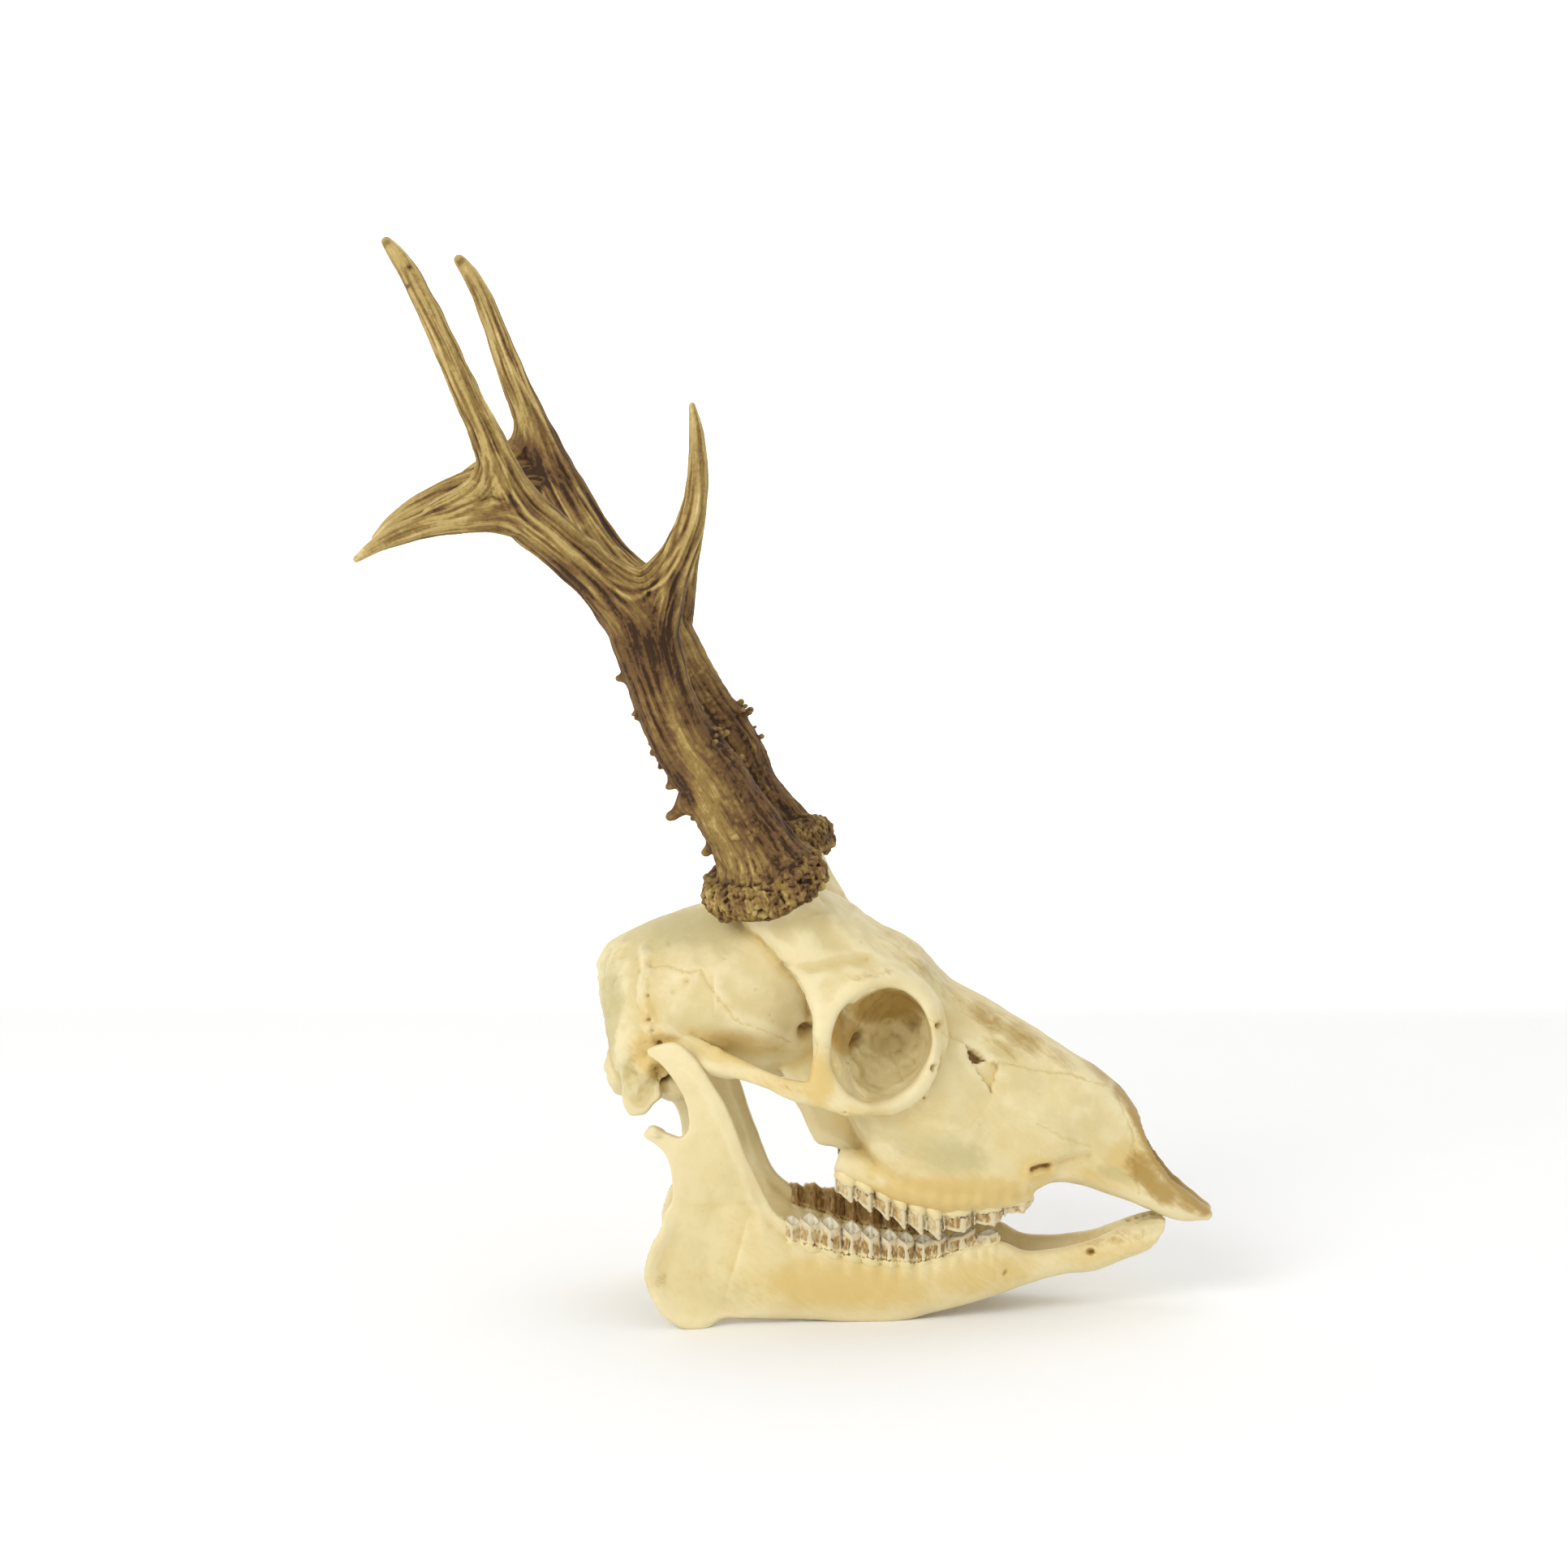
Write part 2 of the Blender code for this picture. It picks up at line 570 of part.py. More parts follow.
def grown(obj, amount):
    """A helper a little thicker all over, which cuts a neighbour back by a thin gap."""
    twin = copy_of(obj, "helper")
    normals = [v.normal.copy() for v in twin.data.vertices]
    for v, normal in zip(twin.data.vertices, normals):
        v.co += normal * amount
    return twin


def build_cranium(bone, jaws):
    bm = bmesh.new()
    cranium_shells(bm)
    pedicle(bm, RIGHT_ANTLER, RIGHT)
    pedicle(bm, LEFT_ANTLER, LEFT)
    cranium = fuse(new_object("cranium", bm, bone), BONE_VOXEL, 8)
    for cutter in (cavities, palate_cutter, nostril_cutter, nape_cutter):
        helper = bmesh.new()
        cutter(helper)
        carve(cranium, new_object("helper", helper))
    teeth = bmesh.new()
    teeth.from_mesh(cranium.data)
    for side in (RIGHT, LEFT):
        cheek_row(teeth, UPPER_TEETH, side, UPPER_ROW_Y, up=False)
    teeth.to_mesh(cranium.data)
    teeth.free()
    thin_out(largest_body(fuse(cranium, BONE_VOXEL, 2)), CRANIUM_TRIANGLES)
    for side, antler in ((RIGHT, RIGHT_ANTLER), (LEFT, LEFT_ANTLER)):
        helper = bmesh.new()
        seat_cutter(helper, antler, side)
        carve(cranium, new_object("helper", helper))
    for jaw in jaws:
        carve(cranium, grown(jaw, PART_GAP))
    return largest_body(cranium)


# ---------------------------------------------------------------- the lower jaw


def jaw_y(x, z):
    """Distance of the jaw's middle plane from y = 0 at a place in the side view, in millimetres."""
    spread = np.interp(x, JAW_SPREAD_X, JAW_SPREAD_Y)
    height = np.clip((z - 38) / 40, 0, 1)
    return spread + (UPRIGHT_TOP_Y - spread) * height


def jaw_body(bm, count=56, points=24):
    table = []
    for _, top, bottom, half in JAW_STATIONS:
        ring = section((half * 0.62, half * 0.94, half, half * 0.92, half * 0.6), SKULL_LEVELS, points)
        x = top[0] + (bottom[0] - top[0]) * ring[:, 1]
        z = top[1] + (bottom[1] - top[1]) * ring[:, 1]
        table.append(np.stack([x, ring[:, 0], z], 1).ravel())
    skin_rings(bm, smooth_curve(table, count).reshape(count, points, 3) * MM)


def build_jaw(name, side, bone):
    bm = bmesh.new()
    jaw_body(bm)
    slab(bm, smooth_curve(JAW_UPRIGHT, 120, closed=True), -UPRIGHT_HALF_THICKNESS, UPRIGHT_HALF_THICKNESS, edge=0.9)
    ball(bm, (-37.4, 1.0, 60.6), (3.0, 7.0, 2.6), (0, -30, 0))  # knob that hinges on the skull
    cheek_row(bm, LOWER_TEETH, 1, ((0, 0.0), (70, 0.0)), up=True)
    jaw = fuse(new_object(name, bm, bone), JAW_VOXEL, 3)
    thin_out(largest_body(jaw), JAW_TRIANGLES)
    for v in jaw.data.vertices:
        v.co.y = side * (v.co.y + jaw_y(v.co.x / MM, v.co.z / MM) * MM)
    cut_to(jaw, (((0, 0, 0), (0, 0, 1)),), 0)
    cut_to(jaw, (((0, 0, 0), (0, side, 0)),), PART_GAP / 2)
    return largest_body(jaw)


# ---------------------------------------------------------------- antlers


def shaft_points(stations, side):
    return [((x, -spread, z), radius, radius * 0.92) for (x, z), spread, radius in stations]


def burr(bm, antler, side, seed):
    """The knobbly ring at the foot of an antler."""
    pick = random.Random(seed)
    foot, lean = antler_foot(antler, side)
    front = Vector((1, 0, 0)) - lean * lean.x
    front.normalize()
    across = lean.cross(front)
    for height, share, count in BURR_ROWS:
        for k in range(count):
            angle = math.tau * (k + pick.uniform(-0.2, 0.2)) / count
            out = front * math.cos(angle) + across * math.sin(angle)
            knob = pick.uniform(2.4, 3.6)
            reach = BURR_RADIUS * share * pick.uniform(0.94, 1.0) - knob
            rise = lean * (height + pick.uniform(-0.8, 0.8))
            ball(bm, foot + out * reach + rise, (knob, knob, knob), detail=1)
            ball(bm, foot + out * (reach - 3.6) + rise, (4.4, 4.4, 4.0), detail=1)


def cut_to(obj, planes, inset):
    """Keeps the side of each plane that it faces, up to the inset. planes are (point, direction) in millimetres."""
    bm = bmesh.new()
    bm.from_mesh(obj.data)
    for point, facing in planes:
        facing = Vector(facing).normalized()
        everything = [*bm.verts, *bm.edges, *bm.faces]
        place = Vector(point) * MM + facing * inset
        bmesh.ops.bisect_plane(
            bm, geom=everything, dist=1e-7, plane_co=place, plane_no=facing, clear_inner=True
        )
        rim = [edge for edge in bm.edges if edge.is_boundary]
        if rim:
            bmesh.ops.edgeloop_fill(bm, edges=rim)
    bmesh.ops.triangulate(bm, faces=bm.faces)
    bmesh.ops.recalc_face_normals(bm, faces=bm.faces)
    bm.to_mesh(obj.data)
    bm.free()
    return obj


def fork_planes(antler, cuts, side):
    """The planes that bound each piece of an antler, facing into it."""
    above, below = {}, {}
    for name, ((x, z), (nx, nz)) in cuts.items():
        above[name] = (x, 0, z), (nx, 0, nz)
        below[name] = (x, 0, z), (-nx, 0, -nz)
    foot, lean = antler_foot(antler, side)
    return {
        "beam": (below["first fork"], (foot, lean)),
        "front_tine": (above["first fork"], above["front of it"]),
        "upper_beam": (above["first fork"], below["front of it"], below["second fork"]),
        "rear_tine": (above["second fork"], below["front of it"], below["top of it"]),
        "top_tine": (above["second fork"], below["front of it"], above["top of it"]),
    }


def build_antler(word, side, antler, cuts, horn, seed):
    """An antler modelled whole, then parted by thin cuts at its forks."""
    bm = bmesh.new()
    for stations in antler.values():
        tube(bm, shaft_points(stations, side), side, points=16, steps=3)
    burr(bm, antler, side, seed)
    whole = fuse(new_object("whole antler", bm, horn), ANTLER_VOXEL, 3)
    pieces = []
    for piece, planes in fork_planes(antler, cuts, side).items():
        part = cut_to(copy_of(whole, f"antler_{word}_{piece}"), planes, -0.8 * MM)
        thin_out(largest_body(part), ANTLER_TRIANGLES[piece])
        pieces.append(largest_body(cut_to(part, planes, PART_GAP / 2)))
    bpy.data.objects.remove(whole)
    return pieces


def main():
    clear_scene()
    bone = material("bone", (0.80, 0.72, 0.46), 0.5)
    horn = material("antler", (0.30, 0.20, 0.10), 0.6)
    jaws = [build_jaw("mandible_right", RIGHT, bone), build_jaw("mandible_left", LEFT, bone)]
    build_cranium(bone, jaws)
    build_antler("right", RIGHT, RIGHT_ANTLER, RIGHT_CUTS, horn, 3)
    build_antler("left", LEFT, LEFT_ANTLER, LEFT_CUTS, horn, 8)


main()
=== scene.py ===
# %% [markdown]
# # A roe buck's skull with its antlers and lower jaw
#
# This script dresses a measured frame of the skull in fine bone, enamel and antler. Every piece is first laid
# down as simple overlapping solids, then fused into one skin, then sculpted in code with smooth brushes, and
# last painted by node materials. Units are metres in the mesh and millimetres in the tables. +X points to the
# nose, +Y to the animal's left and +Z up, and the ground is z = 0.

# %% The frame
import math
import random

import bmesh
import bpy
import numpy as np
from mathutils import Matrix, Vector


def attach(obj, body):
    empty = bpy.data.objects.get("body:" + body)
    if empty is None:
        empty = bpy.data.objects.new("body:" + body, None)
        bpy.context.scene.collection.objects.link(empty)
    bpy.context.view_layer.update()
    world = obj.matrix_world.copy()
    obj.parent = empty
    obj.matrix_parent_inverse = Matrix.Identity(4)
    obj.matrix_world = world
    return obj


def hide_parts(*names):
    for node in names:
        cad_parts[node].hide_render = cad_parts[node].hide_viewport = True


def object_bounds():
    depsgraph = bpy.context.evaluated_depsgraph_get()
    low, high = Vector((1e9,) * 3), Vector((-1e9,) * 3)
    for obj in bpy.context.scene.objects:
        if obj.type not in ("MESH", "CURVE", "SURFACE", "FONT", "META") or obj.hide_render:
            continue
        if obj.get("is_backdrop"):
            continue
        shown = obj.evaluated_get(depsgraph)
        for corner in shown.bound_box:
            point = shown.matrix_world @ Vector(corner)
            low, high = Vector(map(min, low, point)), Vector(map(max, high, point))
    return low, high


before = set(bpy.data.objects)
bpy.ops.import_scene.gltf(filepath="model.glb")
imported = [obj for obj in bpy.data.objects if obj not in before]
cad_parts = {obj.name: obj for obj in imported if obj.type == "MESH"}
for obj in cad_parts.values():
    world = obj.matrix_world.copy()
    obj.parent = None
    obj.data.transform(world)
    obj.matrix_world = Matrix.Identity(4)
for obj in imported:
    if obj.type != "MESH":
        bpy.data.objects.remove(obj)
CAD_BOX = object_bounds()
MM = 0.001
RIGHT, LEFT = -1, 1
COARSE = 1.0
print("frame", len(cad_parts), "nodes, box in mm", [round(c / MM, 1) for corner in CAD_BOX for c in corner])

# %% [markdown]
# ## Camera
#
# The camera stands a metre off the animal's right side, a little above it and a little to the front. A long
# lens keeps the outline nearly flat, as a product photographer would. It could also be placed by eye, but a
# target, a turn and a distance are three numbers that can be checked.

# %% Camera
VIEW_TARGET = Vector((0, 0, 162.86)) * MM
VIEW_TURN, VIEW_RISE = math.radians(2), math.radians(6)
VIEW_DISTANCE = 1.0
FRAME_WIDTH = 0.483  # what the picture takes in at the target
SENSOR = 36  # width in millimetres
camera = bpy.data.objects.new("camera", bpy.data.cameras.new("camera"))
bpy.context.scene.collection.objects.link(camera)
level = math.cos(VIEW_RISE)
back = Vector((math.sin(VIEW_TURN) * level, -math.cos(VIEW_TURN) * level, math.sin(VIEW_RISE)))
camera.location = VIEW_TARGET + back * VIEW_DISTANCE
camera.rotation_euler = (-back).to_track_quat("-Z", "Y").to_euler()
camera.data.sensor_width = SENSOR
camera.data.lens = SENSOR * VIEW_DISTANCE / FRAME_WIDTH
camera.data.clip_end = 20
bpy.context.scene.camera = camera
print("camera lens", round(camera.data.lens, 2), "mm")

# %% [markdown]
# ## Bench tools: curves, lofts, tubes and eggs
#
# Bone has no flat sides, so all the big shapes are lofts: a ring of points is extruded again and again and
# moved to the next station. One smooth curve runs through all the stations, so that a dozen of them are enough.

# %% Curves and lofts


def flow(points, count, closed=False):
    """Points at even steps of a smooth curve that passes through the given ones."""
    p = np.asarray(points, float)
    spans = len(p) if closed else len(p) - 1
    p = np.vstack([p[-1:], p, p[:2]]) if closed else np.vstack([2 * p[0] - p[1], p, 2 * p[-1] - p[-2]])
    t = np.linspace(0, spans, count, endpoint=not closed)
    i = np.minimum(t.astype(int), spans - 1)
    f = (t - i)[:, None]
    a, b, c, d = p[i], p[i + 1], p[i + 2], p[i + 3]
    return 0.5 * (2 * b + (c - a) * f + (2 * a - 5 * b + 4 * c - d) * f**2 + (3 * b - a - 3 * c + d) * f**3)


def loft(bm, rings):
    """A closed skin through rings of points in millimetres, extruded ring by ring from a circle."""
    verts = bmesh.ops.create_circle(bm, cap_ends=False, segments=len(rings[0]), radius=1)["verts"]
    edges = first = list({edge for v in verts for edge in v.link_edges})
    for i, ring in enumerate(rings):
        if i:
            grown = bmesh.ops.extrude_edge_only(bm, edges=edges)["geom"]
            verts = [g for g in grown if isinstance(g, bmesh.types.BMVert)]
            edges = [g for g in grown if isinstance(g, bmesh.types.BMEdge)]
        for v, place in zip(verts, np.asarray(ring, float) * MM):
            v.co = place
    bmesh.ops.edgeloop_fill(bm, edges=first)
    bmesh.ops.edgeloop_fill(bm, edges=edges)


def unit(v):
    return v / np.maximum(np.linalg.norm(v, axis=-1, keepdims=True), 1e-9)


def tube(bm, stations, points=20, steps=5):
    """A tube along rows of (x, y, z, half height, half width) in millimetres."""
    path = flow(stations, len(stations) * steps)
    ahead = unit(np.gradient(path[:, :3], axis=0))
    across = unit(np.array([0.0, 1, 0]) - ahead * ahead[:, 1:2])
    upward = np.cross(ahead, across)
    turn = np.linspace(0, math.tau, points, endpoint=False)[None, :, None]
    rings = path[:, None, :3] + upward[:, None] * path[:, 3, None, None] * np.cos(turn)
    loft(bm, rings + across[:, None] * path[:, 4, None, None] * np.sin(turn))


def ball(bm, centre, radii, turn=(0, 0, 0), detail=3):
    """An egg of these radii, turned by degrees about x, y and z."""
    spin = [Matrix.Rotation(math.radians(a), 4, axis) for a, axis in zip(turn, "XYZ")]
    place = Matrix.Translation(Vector(centre) * MM) @ spin[2] @ spin[1] @ spin[0]
    place = place @ Matrix.Diagonal((*(r * MM for r in radii), 1))
    egg, mesh = bmesh.new(), bpy.data.meshes.new("egg")
    bmesh.ops.create_icosphere(egg, subdivisions=detail, radius=1, matrix=place)
    egg.to_mesh(mesh)
    egg.free()
    bm.from_mesh(mesh)  # far quicker than an operator call on a mesh that already holds hundreds of eggs
    bpy.data.meshes.remove(mesh)


def plate(bm, outline, low, high, edge):
    """A plate between y = low and high, whose side outline is given as (x, z), with rounded-in edges."""
    outline = np.asarray(outline, float)
    middle = outline.mean(0)
    small = middle + (outline - middle) * (1 - edge / np.abs(outline - middle).max())
    inner = (high - low) * 0.25
    layers = ((low, small), (low + inner, outline), (high - inner, outline), (high, small))
    loft(bm, [np.stack([line[:, 0], np.full(len(line), y), line[:, 1]], 1) for y, line in layers])


def mirrored(stations, side):
    """The same stations on this side of the head. They are written for the right side, where y is negative."""
    return [(row[0], -side * row[1], *row[2:]) for row in stations]


# %% [markdown]
# ## Bench tools: fusing, carving and thinning
#
# A voxel remesh turns overlapping solids into one even skin, which is what a sculptor's clay is. Holes that are
# really open, such as the eye sockets, are cut with Booleans. At the end a Decimate modifier takes the small
# triangles away from calm areas and leaves them at edges and grooves.

# %% Fusing, carving and thinning


def as_object(name, bm):
    bmesh.ops.recalc_face_normals(bm, faces=bm.faces)
    mesh = bpy.data.meshes.new(name)
    bm.to_mesh(mesh)
    bm.free()
    made = bpy.data.objects.new(name, mesh)
    bpy.context.scene.collection.objects.link(made)
    return made


def applied(obj):
    """The object with its modifiers made part of its mesh."""
    mesh = bpy.data.meshes.new_from_object(obj.evaluated_get(bpy.context.evaluated_depsgraph_get()))
    old = obj.data
    obj.modifiers.clear()
    obj.data = mesh
    bpy.data.meshes.remove(old)
    return obj


def fuse(obj, voxel, rounds=0):
    """One even skin round everything in the object, then softened a few rounds."""
    remesh = obj.modifiers.new("fuse", "REMESH")
    remesh.mode = "VOXEL"
    remesh.voxel_size = voxel * COARSE * MM
    if rounds:
        soften = obj.modifiers.new("soften", "SMOOTH")
        soften.factor = 0.5
        soften.iterations = max(1, round(rounds / COARSE**2))
    return applied(obj)


def carve(obj, cutter):
    """Takes the solids of a bmesh out of the object."""
    helper = as_object("cutter", cutter)
    cut = obj.modifiers.new("carve", "BOOLEAN")
    cut.operation, cut.solver, cut.object = "DIFFERENCE", "MANIFOLD", helper
    applied(obj)
    bpy.data.objects.remove(helper)
    return obj


def thinned(obj, triangles):
    """Fewer, larger triangles where the surface is calm."""
    obj.data.materials.clear()
    obj.data.calc_loop_triangles()
    count = len(obj.data.loop_triangles)
    if count > triangles:
        fewer = obj.modifiers.new("thin", "DECIMATE")
        fewer.ratio = triangles / count
        fewer.use_collapse_triangulate = True
        applied(obj)
    obj.data.shade_smooth()
    print(obj.name, count, "triangles thinned to", len(obj.data.polygons), "faces")
    return obj


# %% [markdown]
# ## Bench tools: brushes
#
# The sculpting is done on arrays: the points of a mesh in millimetres, and which way each faces. A brush is a
# weight from 0 to 1 for every point, made from its distance to a line or a spot that is drawn in the side view.
# Random roughness comes from one noise function with a fixed pattern, so each run gives the same bone.

# %% Brushes


def read(obj):
    """Points, normals and edges of a mesh, in millimetres."""
    n = len(obj.data.vertices)
    p, normal = np.empty(n * 3, np.float32), np.empty(n * 3, np.float32)
    obj.data.vertices.foreach_get("co", p)
    obj.data.vertices.foreach_get("normal", normal)
    edges = np.empty(len(obj.data.edges) * 2, np.int32)
    obj.data.edges.foreach_get("vertices", edges)
    return p.reshape(-1, 3).astype(float) / MM, normal.reshape(-1, 3).astype(float), edges.reshape(-1, 2)


def write(obj, p):
    obj.data.vertices.foreach_set("co", (p * MM).astype(np.float32).ravel())
    obj.data.update()


def paint(obj, name, values):
    """Stores a number or a vector per point, which the materials read by name."""
    values = np.asarray(values, np.float32)
    kind, field = ("FLOAT", "value") if values.ndim == 1 else ("FLOAT_VECTOR", "vector")
    layer = obj.data.attributes.new(name, kind, "POINT")
    layer.data.foreach_set(field, values.ravel())


def fade(value, low, high):
    """0 up to low, 1 from high, and smooth between them."""
    t = np.clip((value - low) / (high - low), 0, 1)
    return t * t * (3 - 2 * t)


def band(value, low, high, soft):
    """1 between low and high, 0 outside, with soft edges."""
    return fade(value, low - soft, low + soft) * (1 - fade(value, high - soft, high + soft))


def hill(distance, width):
    return np.exp(-((distance / width) ** 2))


def line_distance(flat, line):
    """Distance of each (x, z) point from a line of such points."""
    best = np.full(len(flat), 1e9)
    line = np.asarray(line, float)
    for a, b in zip(line, line[1:]):
        run = b - a
        t = np.clip((flat - a) @ run / (run @ run), 0, 1)
        best = np.minimum(best, np.linalg.norm(flat - a - t[:, None] * run, axis=1))
    return best


def inside(flat, outline):
    """True for each (x, z) point inside a closed outline."""
    x, z = flat.T
    found = np.zeros(len(flat), bool)
    outline = np.asarray(outline, float)
    for (ax, az), (bx, bz) in zip(outline, np.roll(outline, -1, 0)):
        found ^= ((az > z) != (bz > z)) & (x < (bx - ax) * (z - az) / (bz - az + 1e-12) + ax)
    return found


SIGNS = (-1, 0, 1)
SLOPES = np.array([(x, y, z) for x in SIGNS for y in SIGNS for z in SIGNS if abs(x) + abs(y) + abs(z) == 2])


def noise(p, size, seed=0):
    """Smooth random waves of about this size, from -1 to 1. size may be one number or one for each axis."""
    q = p / np.asarray(size, float) + 31.7 * seed + 1000
    cell = np.floor(q).astype(np.int64)
    f = q - cell
    ease = f * f * f * (f * (f * 6 - 15) + 10)
    total = np.zeros(len(p))
    for corner in np.ndindex(2, 2, 2):
        c = cell + corner
        mix = (c[:, 0] * 73856093) ^ (c[:, 1] * 19349663) ^ (c[:, 2] * 83492791)
        mix = (mix ^ (mix >> 13)) * 1274126177 & 0x7FFFFFFF
        slope = SLOPES[(mix >> 7) % 12]
        share = np.prod(np.where(corner, ease, 1 - ease), axis=1)
        total += share * ((f - corner) * slope).sum(1)
    return np.clip(total * 1.3, -1, 1)


def relaxed(p, edges, rounds):
    """Each point moved to the middle of its neighbours, round after round."""
    a, b = edges.T
    n = len(p)
    count = np.maximum(np.bincount(a, minlength=n) + np.bincount(b, minlength=n), 1)
    for _ in range(rounds):
        sums = [np.bincount(a, p[b, k], n) + np.bincount(b, p[a, k], n) for k in range(3)]
        p = np.stack(sums, 1) / count[:, None]
    return p


def hollowness(p, normal, edges, rounds):
    """Above 0 in grooves and below 0 on ridges, in millimetres."""
    return ((relaxed(p, edges, max(2, round(rounds / COARSE))) - p) * normal).sum(1)


def near(flat, x, z):
    """Distance of each (x, z) point from a spot."""
    return np.hypot(flat[:, 0] - x, flat[:, 1] - z)


# %% [markdown]
# ## The cranium: its closed body
#
# The braincase, brow, cheeks and muzzle are one loft of twenty stations from the nape to the tip of the nose.
# Each station says where the top and the bottom of the head are in the side view, and how wide the head is at
# five heights. Building it from separate bones would give real sutures, but the real ones have grown together,
# so one skin with sutures cut into it is closer to the truth.

# %% Cranium sizes
LEVELS = (0.07, 0.27, 0.5, 0.73, 0.93)
SKULL_STATIONS = (
    ((-56.0, 101), (-52, 80), (5, 12, 16, 15, 8)),
    ((-57.5, 107), (-48, 71), (7, 17, 24, 26, 17)),
    ((-51.5, 115), (-40, 71), (11, 23, 28.5, 29.2, 20)),
    ((-38, 121.5), (-30, 73), (14, 26, 30.2, 28.5, 15)),
    ((-24, 126), (-17, 73.4), (15, 27, 30.2, 27, 12)),
    ((-9, 129), (-5, 71.6), (18, 27.5, 29.5, 26, 12)),
    ((4, 131), (4, 71.2), (23, 27, 26.5, 21, 11)),
    ((15, 128.5), (13, 70), (25, 33, 24, 17, 9)),
    ((28, 119.5), (21, 57), (26, 39, 38.5, 35, 20)),
    ((40, 113.5), (29, 43), (24, 34, 36, 34, 26)),
    ((49, 104.5), (39, 38), (17, 26, 32, 31, 27)),
    ((62, 96.7), (50, 35), (13, 20.5, 27, 29, 25.5)),
    ((76, 88.4), (62, 35), (11.5, 17, 22, 24.5, 22.5)),
    ((88, 80.7), (74, 36), (10.5, 15, 18.5, 20.5, 18.5)),
    ((97, 75), (83, 39.5), (9.5, 13.5, 15.5, 16, 14)),
    ((106, 67.2), (93, 38.3), (8.5, 11.5, 13, 13, 10.5)),
    ((113, 55.5), (103, 35), (7.5, 9.5, 10.5, 10.5, 8)),
    ((120, 42.8), (112, 31.3), (7.5, 9.5, 10, 10, 7.5)),
    ((128, 35), (123, 27.6), (6.5, 8.5, 9, 8.5, 6.5)),
    ((133.5, 31), (132, 27.5), (4.5, 6, 6.5, 6, 4.5)),
)
CHEEK_ARCH = (
    (-34, -26, 86, 5.4, 3.6), (-24, -31, 83.5, 4.4, 2.8), (-14, -36, 81.3, 3.2, 2.4), (-5, -39.4, 78.6, 2.9, 2.2),
    (4, -41.5, 75.6, 3.1, 2.4), (14, -42, 73.5, 3.8, 2.7), (24, -41.5, 69.6, 3.0, 3.0),
)
BROW_BAR = (
    (2, -29, 119, 6.0, 4.5), (8, -36, 110, 5.2, 3.8), (12, -40, 101, 3.7, 2.6), (13, -42, 91, 3.15, 2.4),
    (12.6, -42.3, 82, 3.3, 2.5), (12, -42, 75, 4.2, 2.6),
)
SOCKET_RIM = (
    (13.2, -42.0, 84, 2.5, 2.5), (17, -42.2, 75.5, 2.6, 2.8), (24, -41.4, 70.6, 2.6, 3.2),
    (32.5, -39.6, 69.5, 2.6, 3.4), (40.5, -36.8, 73, 2.5, 3.6), (45.5, -34.0, 81, 2.4, 3.6),
    (46.2, -32.4, 91, 2.4, 3.8), (42.5, -32.4, 100, 2.4, 3.8), (36, -34.2, 106, 2.3, 3.8),
    (28, -37.0, 107.8, 2.3, 3.6), (20, -39.4, 104, 2.4, 3.0), (14.6, -41.2, 96, 2.5, 2.6),
)
ORBIT = ((30.0, -41.0, 88.6), (13.3, 30.0, 17.1), 16.0)  # centre, radii, degrees that it looks forward
BROW_SHEET = (
    (-2, -22, 125.5, 6.5, 7), (6, -29, 118.5, 6.5, 6), (13, -33, 111.5, 5.5, 5), (21, -34, 109, 4, 5),
    (30, -32, 108.4, 3.6, 6), (38, -29.5, 105.4, 3.8, 6.5), (44, -28.5, 99.5, 3.6, 6.5), (47.4, -28, 92, 3.4, 6.5),
    (47, -30, 84, 3, 5),
)
GUM_RIDGE = (
    (16.8, -21.5, 50.4, 4.2, 5.0), (24, -22, 48.2, 5.0, 6.2), (33, -22.6, 44.4, 5.4, 7.0), (42, -22.6, 41.2, 5.6, 7.0),
    (50, -21.5, 39.6, 5.4, 6.6), (59, -19.4, 39.2, 5.0, 6.0), (68, -16.8, 39.2, 4.6, 5.0), (76, -14.6, 40.0, 3.8, 3.8),
)
EAR_RIDGE = (
    (-41.5, -25.5, 97, 2.4, 2.4), (-40.6, -26.6, 90, 2.8, 2.6), (-41.6, -26.4, 83, 3.0, 2.6),
    (-43.4, -25, 76, 2.8, 2.0), (-44.4, -24.6, 69, 2.2, 1.2),
)
EAR_SPUR = ((-49, 79), (-48.8, 69), (-46.8, 63.6), (-41.2, 63.7), (-35.9, 70), (-37, 77), (-42, 82))
THROAT_WING = (
    (-0.5, 76), (2.2, 69), (5.2, 63.6), (7.4, 58.6), (9.4, 54.2), (11.4, 52.6), (16.5, 52.0), (28, 46), (34, 58),
    (22, 78), (4, 82),
)
PALATE = (
    (4, 0, 63, 8, 8.5), (16, 0, 59, 9, 9), (26, 0, 50, 8, 11), (36, 0, 41, 9, 14.5), (48, 0, 35, 10, 15),
    (60, 0, 33, 10, 13.5), (71, 0, 33, 9, 10.5), (82, 0, 34, 7, 8), (94, 0, 33.5, 4.5, 6),
)
NOSTRIL = (
    (86, 0, 59, 6, 4), (97, 0, 56, 8.6, 7.6), (105, 0, 52, 9.4, 8.4), (112, 0, 49.6, 12, 8), (118, 0, 45.4, 11, 7),
    (124, 0, 41, 8, 5.4), (130, 0, 38, 5.2, 3.6), (136, 0, 36.4, 4, 2.6),
)
